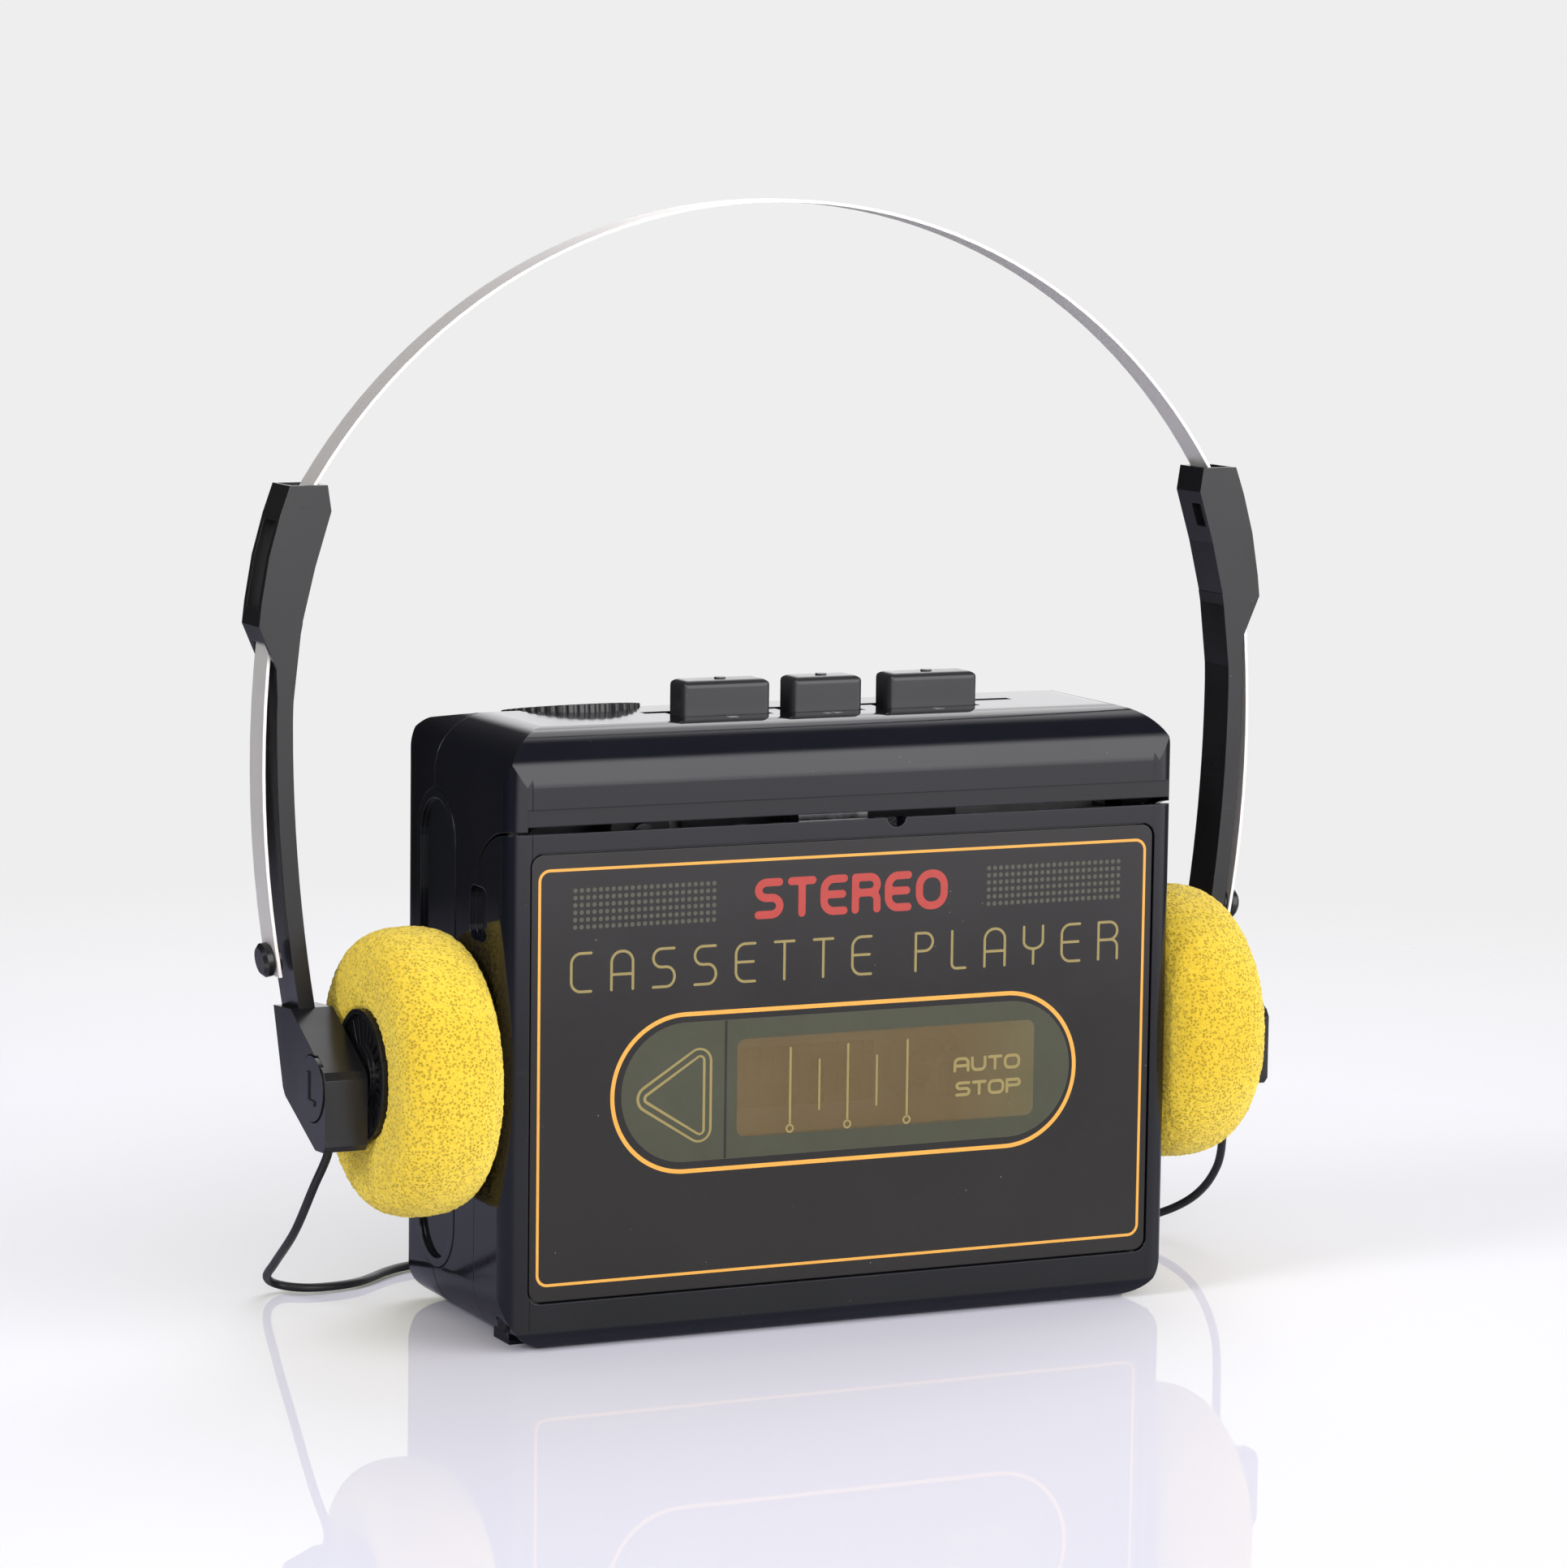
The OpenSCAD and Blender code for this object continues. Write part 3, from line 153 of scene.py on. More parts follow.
def lathe(profile, around):
    """Closed ring of revolution from a closed (radius, height) profile."""
    n = len(profile)
    turn = np.linspace(0, 2 * math.pi, around, endpoint=False)
    verts = np.stack([np.outer(np.cos(turn), profile[:, 0]), np.outer(np.sin(turn), profile[:, 0]),
                      np.tile(profile[:, 1], (around, 1))], 2).reshape(-1, 3)
    i, j = np.meshgrid(np.arange(around), np.arange(n), indexing="ij")
    i2, j2 = (i + 1) % around, (j + 1) % n
    faces = np.stack([i * n + j, i2 * n + j, i2 * n + j2, i * n + j2], 2).reshape(-1, 4)
    return verts, faces


# ---- cords: the routes repeat those of part.scad, in metres ----

THIN = 1.4 * MM
THICK = 2.0 * MM
LEFT_ROUTE = [(-79, -2.2, 35), (-79, -2.2, 30), (-80.3, 1, 23.7), (-80.6, 8.6, 15.3), (-79, 22, 7.6),
              (-77.2, 31, 3.2), (-74.2, 33.2, 1.2), (-69.6, 30.6, 0.9), (-61.5, 31.8, 0.9), (-50, 40, 0.9),
              (-32, 42.6, 0.9), (-16, 38.6, 1), (-3.5, 35.2, 1.7)]
RIGHT_ROUTE = [(79, -2.2, 35), (79, -2.2, 30), (80, -0.6, 25), (83.4, 7, 14), (82, 16, 6),
               (72, 23.4, 1.6), (54, 24.6, 0.9), (30, 24.4, 0.9), (8, 24.2, 0.9), (-10, 24.2, 0.9),
               (-13, 25.4, 0.9), (-14.3, 28.5, 0.9), (-13, 31.6, 1.1), (-10, 32.8, 1.3), (-3.5, 32.8, 1.7)]
MAIN_OUT = [(40, 34, 5.4), (49.9, 34, 5.4), (51.6, 34, 5.4), (56, 34.6, 8.5), (60.6, 34.6, 15),
            (63, 33.4, 26), (63.6, 31.5, 42), (63.2, 29.8, 60), (62.6, 29.4, 70), (62.4, 27.2, 76),
            (62.4, 23.2, 77)]
COIL_AT = (34.0, 49.0)
COIL_ROWS = (1.2, 3.3, 5.4)
COIL_RADII = (15.0, 13.0, 11.0, 9.0, 7.0)
SPLITTER_END = (9.4, 34.0, 1.9)


def coil_path():
    """Turns wound side by side from the outside in, then back out on the layer above."""
    slots = [(r, COIL_ROWS[0]) for r in COIL_RADII]
    slots += [(r, COIL_ROWS[1]) for r in reversed(COIL_RADII)]
    slots += [(COIL_RADII[0], COIL_ROWS[2])]
    per_turn, cross = 48, 0.3
    out = []
    for k, (radius, height) in enumerate(slots):
        nxt = slots[min(k + 1, len(slots) - 1)]
        for i in range(per_turn):
            u = i / per_turn
            t = min(1.0, max(0.0, (u - (1 - cross)) / cross))
            t = t * t * (3 - 2 * t)
            r = radius + (nxt[0] - radius) * t
            z = height + (nxt[1] - height) * t
            a = -math.pi / 2 + 2 * math.pi * u
            out.append((COIL_AT[0] + r * math.cos(a), COIL_AT[1] + r * math.sin(a), z))
    return out


def main_path():
    tip = SPLITTER_END
    lead = [(x, 34.0, 1.9 - 0.7 * min(1, max(0, (x - 12) / 14))) for x in np.linspace(tip[0], 31, 12)]
    points = np.array([tuple(p) for p in lead] + coil_path()[1:] + [(34.0, 34.0, 5.4)] +
                      [tuple(p) for p in smooth_route(MAIN_OUT, 8)])
    return even_steps(points, 1.2) * MM


def make_cords():
    left = even_steps(smooth_route(LEFT_ROUTE, 10), 1.0) * MM
    right = even_steps(smooth_route(RIGHT_ROUTE, 10), 1.0) * MM
    main = main_path()
    made = {}
    for name, path, size, far, extra in (
            ("cord_to_left_ear", left, THIN, "object", ()),
            ("cord_to_right_ear", right, THIN, "object", ()),
            ("cord_to_player", main, THICK, "plug",
             (frame["nodes"]["plug"], frame["nodes"]["cord_splitter"], frame["nodes"]["cord_tie"]))):
        cord = tube(name, path, size / 2, 12)
        made[name] = cord
    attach(made["cord_to_player"], "case")
    for side in ("left", "right"):
        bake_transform(made["cord_to_%s_ear" % side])
        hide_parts("cord_" + side)
    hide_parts("cord_coil", "cord_main")
    return made


CORDS = make_cords()


# ---- stage ----

def make_stage():
    size = 1.6
    ring = 96
    verts = [(0, 0, 0)] + [(size * math.cos(a), size * math.sin(a), 0)
                           for a in np.linspace(0, 2 * math.pi, ring, endpoint=False)]
    faces = [(0, 1 + k, 1 + (k + 1) % ring) for k in range(ring)]
    floor = mesh_object("floor", verts, faces, smooth=False)
    return floor


FLOOR = make_stage()


def area_light(name, at, aim, size, watts):
    data = bpy.data.lights.new(name, "AREA")
    data.shape = "RECTANGLE"
    data.size, data.size_y = size
    data.energy = watts
    obj = bpy.data.objects.new(name, data)
    bpy.context.scene.collection.objects.link(obj)
    obj.location = at
    obj.rotation_euler = (Vector(aim) - Vector(at)).to_track_quat("-Z", "Y").to_euler()
    obj.visible_camera = False
    return obj


AIM = (0, 0, 0.06)
area_light("key_light", (-1.3, -0.35, 0.8), AIM, (0.5, 0.5), 9.0)
sky = area_light("sky_light", (0.0, -0.1, 1.5), AIM, (2.2, 2.2), 8.6)
sky.visible_glossy = False
area_light("rim_light", (0.9, 0.9, 1.1), AIM, (0.8, 0.5), 1.6)


# ---- materials ----

class Graph:
    """A material's node tree, with the few node kinds used here as short calls."""

    def __init__(self, name):
        self.mat = bpy.data.materials.new(name)
        self.mat.use_nodes = True
        self.tree = self.mat.node_tree
        self.bsdf = self.tree.nodes["Principled BSDF"]
        self._at = None

    def add(self, kind, **props):
        node = self.tree.nodes.new(kind)
        for key, value in props.items():
            setattr(node, key, value)
        return node

    def put(self, socket, value):
        if isinstance(value, bpy.types.NodeSocket):
            self.tree.links.new(value, socket)
        else:
            socket.default_value = value
        return socket

    def set(self, **values):
        for key, value in values.items():
            self.put(self.bsdf.inputs[key.replace("_", " ")], value)

    def at(self, scale=(1, 1, 1)):
        if self._at is None:
            self._at = self.add("ShaderNodeTexCoord").outputs["Object"]
        node = self.add("ShaderNodeMapping")
        self.put(node.inputs["Vector"], self._at)
        node.inputs["Scale"].default_value = scale
        return node.outputs["Vector"]

    def noise(self, scale, detail=4, rough=0.55, stretch=(1, 1, 1)):
        node = self.add("ShaderNodeTexNoise")
        self.put(node.inputs["Vector"], self.at(stretch))
        node.inputs["Scale"].default_value = scale
        node.inputs["Detail"].default_value = detail
        node.inputs["Roughness"].default_value = rough
        return node.outputs["Fac"]

    def cells(self, scale):
        node = self.add("ShaderNodeTexVoronoi", feature="F1")
        self.put(node.inputs["Vector"], self.at())
        node.inputs["Scale"].default_value = scale
        return node.outputs["Distance"]

    def ramp(self, value, low, high, a=0.0, b=1.0):
        node = self.add("ShaderNodeMapRange")
        self.put(node.inputs["Value"], value)
        node.inputs["From Min"].default_value = low
        node.inputs["From Max"].default_value = high
        node.inputs["To Min"].default_value = a
        node.inputs["To Max"].default_value = b
        return node.outputs["Result"]

    def math(self, op, a, b=0.0):
        node = self.add("ShaderNodeMath", operation=op)
        self.put(node.inputs[0], a)
        self.put(node.inputs[1], b)
        return node.outputs[0]

    def mix(self, fac, a, b):
        node = self.add("ShaderNodeMix", data_type="RGBA")
        self.put(node.inputs[0], fac)
        for socket, colour in ((node.inputs[6], a), (node.inputs[7], b)):
            self.put(socket, colour if isinstance(colour, bpy.types.NodeSocket) else (*colour, 1.0))
        return node.outputs[2]

    def edge(self, radius):
        """1 close to a sharp edge, 0 on open surface."""
        bevel = self.add("ShaderNodeBevel", samples=4)
        bevel.inputs["Radius"].default_value = radius
        normal = self.add("ShaderNodeNewGeometry").outputs["Normal"]
        dot = self.add("ShaderNodeVectorMath", operation="DOT_PRODUCT")
        self.put(dot.inputs[0], bevel.outputs["Normal"])
        self.put(dot.inputs[1], normal)
        return self.ramp(dot.outputs["Value"], 0.995, 0.8)

    def bump(self, height, strength, distance, soften=0.0):
        node = self.add("ShaderNodeBump")
        self.put(node.inputs["Height"], height)
        node.inputs["Strength"].default_value = strength
        node.inputs["Distance"].default_value = distance
        if soften:
            bevel = self.add("ShaderNodeBevel", samples=4)
            bevel.inputs["Radius"].default_value = soften
            self.put(node.inputs["Normal"], bevel.outputs["Normal"])
        self.put(self.bsdf.inputs["Normal"], node.outputs["Normal"])


def moulded(name, dark, light, gloss, haze, grain=0.03, soften=0.25 * MM):
    """Injection moulded plastic: faint flow marks, handling haze, fine scratches and paler edges."""
    g = Graph(name)
    flow = g.noise(38, 3)
    smear = g.noise(95, 5, 0.62, (1.0, 1.0, 0.45))
    hair = g.ramp(g.noise(520, 2, 0.5, (0.08, 1.0, 1.3)), 0.66, 0.74)
    speck = g.ramp(g.cells(620), 0.09, 0.04)
    rare = g.ramp(g.noise(130, 2), 0.6, 0.66)
    dust = g.math("MULTIPLY", speck, rare)
    worn = g.math("MULTIPLY", g.edge(0.35 * MM), g.ramp(g.noise(160, 4), 0.35, 0.7))
    colour = g.mix(g.ramp(flow, 0.35, 0.65), dark, light)
    colour = g.mix(g.math("MULTIPLY", dust, 0.25), colour, (0.30, 0.30, 0.29))
    colour = g.mix(g.math("MULTIPLY", worn, 0.35), colour, tuple(min(1, c * 3 + 0.02) for c in light))
    rough = g.ramp(smear, 0.35, 0.72, gloss, haze)
    rough = g.math("ADD", rough, g.math("MULTIPLY", g.math("ADD", hair, worn), 0.06))
    g.set(Base_Color=colour, Roughness=rough, IOR=1.5)
    height = g.math("ADD", g.noise(1500, 2), g.math("MULTIPLY", hair, -0.8))
    g.bump(height, grain, 0.02 * MM, soften)
    return g.mat


def metal(name, tone, spread, low, high, stretch=(1, 1, 1), scale=300, grain=0.12, bare=1.0):
    """Plated or brushed metal with drawn lines, light tarnish and brighter rubbed edges.

    spread is how far the tarnish darkens the tone, low and high the roughness between the drawn
    lines and on them, and bare the share of clean metal under a dull oxide or lacquer."""
    g = Graph(name)
    lines = g.noise(scale, 3, 0.6, stretch)
    stain = g.noise(60, 5, 0.6)
    rub = g.edge(0.2 * MM)
    shade = tuple(c * (1 - spread) for c in tone)
    colour = g.mix(g.ramp(stain, 0.38, 0.7), tone, shade)
    colour = g.mix(g.math("MULTIPLY", rub, 0.4), colour, tuple(min(1, c * 1.25) for c in tone))
    rough = g.math("ADD", g.ramp(lines, 0.3, 0.7, low, high), g.ramp(stain, 0.4, 0.75, 0.0, 0.08))
    g.set(Base_Color=colour, Roughness=rough, Metallic=bare)
    g.bump(lines, grain, 0.02 * MM, 0.1 * MM)
    return g.mat


def rubber(name, dark, light, rough=0.62):
    g = Graph(name)
    colour = g.mix(g.ramp(g.noise(220, 4), 0.35, 0.7), dark, light)
    g.set(Base_Color=colour, Roughness=g.ramp(g.noise(120, 4), 0.3, 0.7, rough - 0.08, rough + 0.1))
    g.bump(g.noise(1800, 3), 0.12, 0.03 * MM)
    return g.mat


def ink(name, tone, thin=0.12):
    """Screen print under the panel's gloss: slightly uneven cover and the odd pinhole."""
    g = Graph(name)
    cover = g.ramp(g.noise(420, 3), 0.3, 0.7, 0.0, thin)
    hole = g.math("MULTIPLY", g.ramp(g.cells(900), 0.1, 0.05), 0.5)
    dim = tuple(c * 0.45 for c in tone)
    colour = g.mix(g.math("ADD", cover, hole), tone, dim)
    g.set(Base_Color=colour, Roughness=g.ramp(g.noise(90, 4), 0.3, 0.75, 0.10, 0.22), IOR=1.45)
    g.bump(g.noise(900, 2), 0.02, 0.01 * MM)
    return g.mat


def panel_material():
    g = Graph("panel_gloss")
    tone = g.mix(g.ramp(g.noise(30, 4), 0.35, 0.7), (0.012, 0.0105, 0.0115), (0.015, 0.0135, 0.0145))
    speck = g.math("MULTIPLY", g.ramp(g.cells(520), 0.08, 0.03), g.ramp(g.noise(120, 2), 0.58, 0.64))
    tone = g.mix(g.math("MULTIPLY", speck, 0.35), tone, (0.4, 0.4, 0.38))
    hair = g.ramp(g.noise(420, 2, 0.5, (0.07, 1.0, 1.2)), 0.68, 0.75)
    rough = g.math("ADD", g.ramp(g.noise(70, 5, 0.6), 0.35, 0.75, 0.06, 0.15), g.math("MULTIPLY", hair, 0.05))
    g.set(Base_Color=tone, Roughness=rough, IOR=1.5)
    g.bump(g.math("ADD", g.noise(1200, 2), hair), 0.015, 0.02 * MM, 0.2 * MM)
    return g.mat


def window_material():
    """Amber smoked window: clearest on the left, printed denser towards its right end."""
    g = Graph("window_amber")
    split = g.add("ShaderNodeSeparateXYZ")
    g.put(split.inputs[0], g.at())
    right = g.ramp(split.outputs["X"], 0.018, 0.033)
    tone = g.mix(right, (0.17, 0.12, 0.055), (0.11, 0.10, 0.05))
    tone = g.mix(g.ramp(g.noise(70, 4), 0.35, 0.75, 0.0, 0.35), tone, (0.20, 0.15, 0.08))
    alpha = g.math("ADD", g.ramp(g.noise(90, 4), 0.3, 0.7, 0.50, 0.58), g.math("MULTIPLY", right, 0.35))
    g.set(Base_Color=tone, Roughness=g.ramp(g.noise(80, 4), 0.3, 0.75, 0.06, 0.14), IOR=1.45, Alpha=alpha)
    g.bump(g.noise(1000, 2), 0.015, 0.02 * MM)
    return g.mat


def foam_material():
    """Open cell polyurethane foam: fine pores in a bright yellow skeleton, the pores painted darker as
    painted shade.
    """
    g = Graph("foam_open_cell")
    pore = g.ramp(g.cells(1900), 0.24, 0.52)
    fine = g.ramp(g.cells(4200), 0.15, 0.6)
    patch = g.ramp(g.noise(260, 3), 0.35, 0.65, 0.8, 1.0)
    solid = g.math("MULTIPLY", pore, g.math("ADD", g.math("MULTIPLY", fine, 0.35), 0.65))
    # shade is 1 on the skeleton and lower in the pores; it sets the painted shade of the pores and also the
    # bump
    shade = g.math("SUBTRACT", 1.0, g.math("MULTIPLY", g.math("SUBTRACT", 1.0, solid), patch))
    warm = g.mix(g.ramp(g.noise(70, 4), 0.35, 0.7), (0.78, 0.57, 0.034), (0.82, 0.62, 0.050))
    # painted shade: the colour goes dark olive in the pores, where shade falls inside the foam
    colour = g.mix(shade, (0.44, 0.30, 0.008), warm)
    g.set(Base_Color=colour, Roughness=0.95, IOR=1.35, Diffuse_Roughness=1.0)
    g.set(Sheen_Weight=0.35, Sheen_Roughness=0.6)
    g.bsdf.inputs["Sheen Tint"].default_value = (1.0, 0.92, 0.5, 1.0)
    g.bump(shade, 0.6, 0.25 * MM)
    return g.mat


def floor_material():
    """White sweep that thins out into the plain background far from the object."""
    g = Graph("floor_white")
    g.tree.nodes.remove(g.bsdf)
    out = g.tree.nodes["Material Output"]
    diffuse = g.add("ShaderNodeBsdfDiffuse")
    path = g.add("ShaderNodeLightPath")
    # For glossy rays the floor takes a far darker colour: painted shade in its reflections on the case.
    seen, painted_dim_reflection = (0.82, 0.82, 0.92), (0.34, 0.34, 0.45)
    g.put(diffuse.inputs["Color"], g.mix(path.outputs["Is Glossy Ray"], seen, painted_dim_reflection))
    gloss = g.add("ShaderNodeBsdfGlossy")
    gloss.inputs["Color"].default_value = (0.95, 0.97, 0.62, 1)
    gloss.inputs["Roughness"].default_value = 0.012
    body = g.add("ShaderNodeMixShader")
    body.inputs[0].default_value = 0.12
    clear = g.add("ShaderNodeBsdfTransparent")
    split = g.add("ShaderNodeVectorMath", operation="LENGTH")
    g.put(split.inputs[0], g.at())
    fade = g.ramp(split.outputs["Value"], 0.22, 0.48)
    whole = g.add("ShaderNodeMixShader")
    links = g.tree.links
    links.new(diffuse.outputs[0], body.inputs[1])
    links.new(gloss.outputs[0], body.inputs[2])
    links.new(fade, whole.inputs[0])
    links.new(body.outputs[0], whole.inputs[1])
    links.new(clear.outputs[0], whole.inputs[2])
    links.new(whole.outputs[0], out.inputs["Surface"])
    return g.mat


def make_world():
    """Plain grey behind the object; a broad soft box in front of it for every other ray."""
    world = bpy.data.worlds.new("studio")
    bpy.context.scene.world = world
    world.use_nodes = True
    tree = world.node_tree
    tree.nodes.clear()
    links = tree.links

    def ramp(value, low, high, a=0.0, b=1.0):
        node = tree.nodes.new("ShaderNodeMapRange")
        node.interpolation_type = "SMOOTHSTEP"
        links.new(value, node.inputs["Value"])
        for key, number in (("From Min", low), ("From Max", high), ("To Min", a), ("To Max", b)):
            node.inputs[key].default_value = number
        return node.outputs["Result"]

    def along(direction):
        node = tree.nodes.new("ShaderNodeVectorMath")
        node.operation = "DOT_PRODUCT"
        links.new(coord, node.inputs[0])
        node.inputs[1].default_value = direction
        return node.outputs["Value"]

    def times(a, b, op="MULTIPLY"):
        node = tree.nodes.new("ShaderNodeMath")
        node.operation = op
        links.new(a, node.inputs[0])
        links.new(b, node.inputs[1])
        return node.outputs[0]

    coord = tree.nodes.new("ShaderNodeTexCoord").outputs["Generated"]
    up = along((0, 0, 1))
    room = ramp(along(DARK_SIDE), 0.35, 0.85, 0.12, 0.03)
    box = times(ramp(up, -0.24, -0.08, 0.1, BOX_LOW), ramp(up, -0.12, 0.04, 0.0, BOX_HIGH - BOX_LOW), "ADD")
    box = times(box, ramp(up, 0.71, 0.57))
    box = times(box, ramp(along(BOX_SIDE), 0.3, 0.75))
    wall = times(ramp(up, -0.06, 0.04, 0.0, WALL_LOW), ramp(up, 0.15, 0.45, 0.0, WALL_HIGH - WALL_LOW), "ADD")
    wall = times(times(wall, ramp(along((1, 0, 0)), 0.14, 0.32)), ramp(along((0, 1, 0)), 0.0, 0.35))
    box = times(box, wall, "ADD")
    lit = tree.nodes.new("ShaderNodeBackground")
    lit.inputs["Color"].default_value = (1.0, 0.985, 1.0, 1)
    links.new(times(room, box, "ADD"), lit.inputs["Strength"])
    seen = tree.nodes.new("ShaderNodeBackground")
    seen.inputs["Color"].default_value = (0.855, 0.855, 0.855, 1)
    path = tree.nodes.new("ShaderNodeLightPath")
    mix = tree.nodes.new("ShaderNodeMixShader")
    out = tree.nodes.new("ShaderNodeOutputWorld")
    links.new(path.outputs["Is Camera Ray"], mix.inputs[0])
    links.new(lit.outputs[0], mix.inputs[1])
    links.new(seen.outputs[0], mix.inputs[2])
    links.new(mix.outputs[0], out.inputs["Surface"])


BOX_SIDE = (0.36, -0.93, 0.0)
BOX_LOW, BOX_HIGH = 1.6, 3.1
WALL_LOW, WALL_HIGH = 1.25, 1.7
DARK_SIDE = (-0.72, 0.69, 0.0)
make_world()
bpy.context.scene.view_settings.view_transform = "Standard"

MATERIALS = {
    "case_plastic": moulded("case_gloss", (0.004, 0.0045, 0.008), (0.0055, 0.006, 0.010), 0.06, 0.14),
    "trim_plastic": moulded("trim_gloss", (0.005, 0.006, 0.009), (0.007, 0.008, 0.012), 0.06, 0.14),
    "key_plastic": moulded("key_gloss", (0.020, 0.019, 0.021), (0.026, 0.025, 0.027), 0.16, 0.28),
    "guide_plastic": moulded("guide_satin", (0.020, 0.020, 0.022), (0.03, 0.03, 0.032), 0.35, 0.5),
    "headset_plastic": moulded("headset_satin", (0.008, 0.008, 0.010), (0.012, 0.012, 0.013), 0.16, 0.3, 0.05,
                                0.14 * MM),
    "reel_plastic": moulded("reel_plastic", (0.16, 0.14, 0.11), (0.22, 0.20, 0.16), 0.4, 0.55),
    "parts": moulded("board_parts", (0.05, 0.06, 0.10), (0.10, 0.11, 0.15), 0.35, 0.5),
    "board": moulded("circuit_board", (0.30, 0.20, 0.08), (0.38, 0.26, 0.12), 0.4, 0.55),
    "panel_print": panel_material(),
    "window_clear": window_material(),
    "spring_steel": metal("spring_steel", (0.62, 0.62, 0.62), 0.3, 0.18, 0.34),
    "plated_steel": metal("plated_steel", (0.58, 0.58, 0.58), 0.25, 0.2, 0.36),
    "chassis_steel": metal("chassis_steel", (0.30, 0.30, 0.30), 0.3, 0.3, 0.5, (0.1, 1, 1)),
    "black_steel": metal("black_steel", (0.06, 0.06, 0.065), 0.25, 0.3, 0.45),
    "brass": metal("brass", (0.62, 0.47, 0.24), 0.25, 0.22, 0.38),
    "head_metal": metal("head_metal", (0.26, 0.26, 0.27), 0.15, 0.15, 0.3),
    "band_steel": metal("band_steel", (0.84, 0.81, 0.79), 0.08, 0.3, 0.42, (0.02, 1, 0.02), 1600,
                        grain=0.02, bare=0.35),
    "belt_rubber": rubber("belt_rubber", (0.010, 0.010, 0.010), (0.018, 0.018, 0.018)),
    "strip_rubber": rubber("strip_rubber", (0.045, 0.036, 0.026), (0.07, 0.055, 0.04), 0.7),
    "cord_black": rubber("cord_black", (0.010, 0.010, 0.011), (0.016, 0.016, 0.018), 0.42),
    "foam_yellow": foam_material(),
}
FLOOR.data.materials.append(floor_material())


# Parts seen in the dark openings of the case take the black steel material in place of their own finish:
# painted shade.
PAINTED_SHADE_PARTS = ("door_catch", "pinch_arm", "head_plate", "hinge_pins")


def dress():
    slot_of = {part["node"]: part["material_slot"] for part in frame["record"]["subparts"]}
    for name, obj in frame["nodes"].items():
        for slot in obj.material_slots:
            # the listed parts are made black here as painted shade
            slot.material = MATERIALS["black_steel" if name in PAINTED_SHADE_PARTS else slot_of[name]]
    for cord in CORDS.values():
        cord.data.materials.append(MATERIALS["cord_black"])


dress()


# ---- foam ear pads ----

PAD_R = 22.5 * MM
PAD_HOLE = 9.4 * MM
PAD_TURN = 420
RIM_POWER, HOLE_POWER = 2.5, 6.0
PORE_SIZE, PORE_DEPTH = 0.68 * MM, 0.36 * MM
FINE_SIZE, FINE_DEPTH = 0.36 * MM, 0.12 * MM


def foam_profile(thick, steps=150):
    """Half section of a pad: domed rim, gently crowned face against the case, hole for the housing."""
    at = np.linspace(0, 2 * math.pi, steps, endpoint=False)
    mid = (PAD_R + PAD_HOLE) / 2
    wide = (PAD_R - PAD_HOLE) / 2
    c, s = np.cos(at), np.sin(at)
    power = np.where(c > 0, RIM_POWER, HOLE_POWER)
    r = mid + wide * np.sign(c) * np.abs(c) ** (2 / power)
    h = thick / 2 * np.sign(s) * np.abs(s) ** (2 / power)
    return np.stack([r, h], 1)


def cell_noise(points, size, seed):
    """Distance to the nearest of one random seed per cubic cell, in cell sizes."""
    cell = np.floor(points / size).astype(np.int64)
    best = np.full(len(points), 9.0)
    for dx in (-1, 0, 1):
        for dy in (-1, 0, 1):
            for dz in (-1, 0, 1):
                c = cell + (dx, dy, dz)
                h = (c[:, 0] * 73856093) ^ (c[:, 1] * 19349663) ^ (c[:, 2] * 83492791) ^ seed
                j = np.stack([((h * m) % 9973) / 9973.0 for m in (7919, 104729, 1299709)], 1)
                best = np.minimum(best, np.linalg.norm(points / size - (c + j), axis=1))
    return best


def make_pad(side):
    low, high = (np.array(v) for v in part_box("pad_" + side))
    centre = (low + high) / 2
    thick = (high - low)[0]
    outward = -1.0 if side == "left" else 1.0
    profile = foam_profile(thick)
    verts, faces = lathe(profile, PAD_TURN)
    body = np.stack([verts[:, 2] * outward, verts[:, 0], verts[:, 1]], 1)
    normal_r = np.tile(profile - np.array([(PAD_R + PAD_HOLE) / 2, 0]), (PAD_TURN, 1))
    turn = np.repeat(np.linspace(0, 2 * math.pi, PAD_TURN, endpoint=False), len(profile))
    n = np.stack([normal_r[:, 1] * outward, normal_r[:, 0] * np.cos(turn), normal_r[:, 0] * np.sin(turn)], 1)
    n /= np.linalg.norm(n, axis=1)[:, None] + 1e-12
    pore = cell_noise(body, PORE_SIZE, 11 if side == "left" else 23)
    fine = cell_noise(body, FINE_SIZE, 37)
    dent = PORE_DEPTH * np.clip(1 - pore / 0.8, 0, 1) + FINE_DEPTH * np.clip(1 - fine / 0.6, 0, 1)
    body = body - n * dent[:, None]
    body += centre
    obj = mesh_object("foam_pad_" + side, body, faces if outward > 0 else faces[:, ::-1])
    obj.data.materials.append(MATERIALS["foam_yellow"])
    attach(obj, "ear_" + side)
    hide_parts("pad_" + side)
    return obj


for side in ("left", "right"):
    make_pad(side)


# ---- panel graphics ----

PRINT_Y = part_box("door_panel")[0][1]
INK = 0.03 * MM


def arc(cx, cz, rx, rz, a0, a1, steps=14):
    t = np.radians(np.linspace(a0, a1, steps))
    return [(cx + rx * math.cos(a), cz + rz * math.sin(a)) for a in t]


def distance_field(points, strokes):
    best = np.full(len(points), 1e9)
    for stroke in strokes:
        s = np.asarray(stroke, float)
        for a, b in zip(s[:-1], s[1:]):
            ab = b - a
            length2 = float(ab @ ab) or 1e-12
            t = np.clip(((points - a) @ ab) / length2, 0, 1)
            best = np.minimum(best, np.linalg.norm(points - a - t[:, None] * ab, axis=1))
    return best


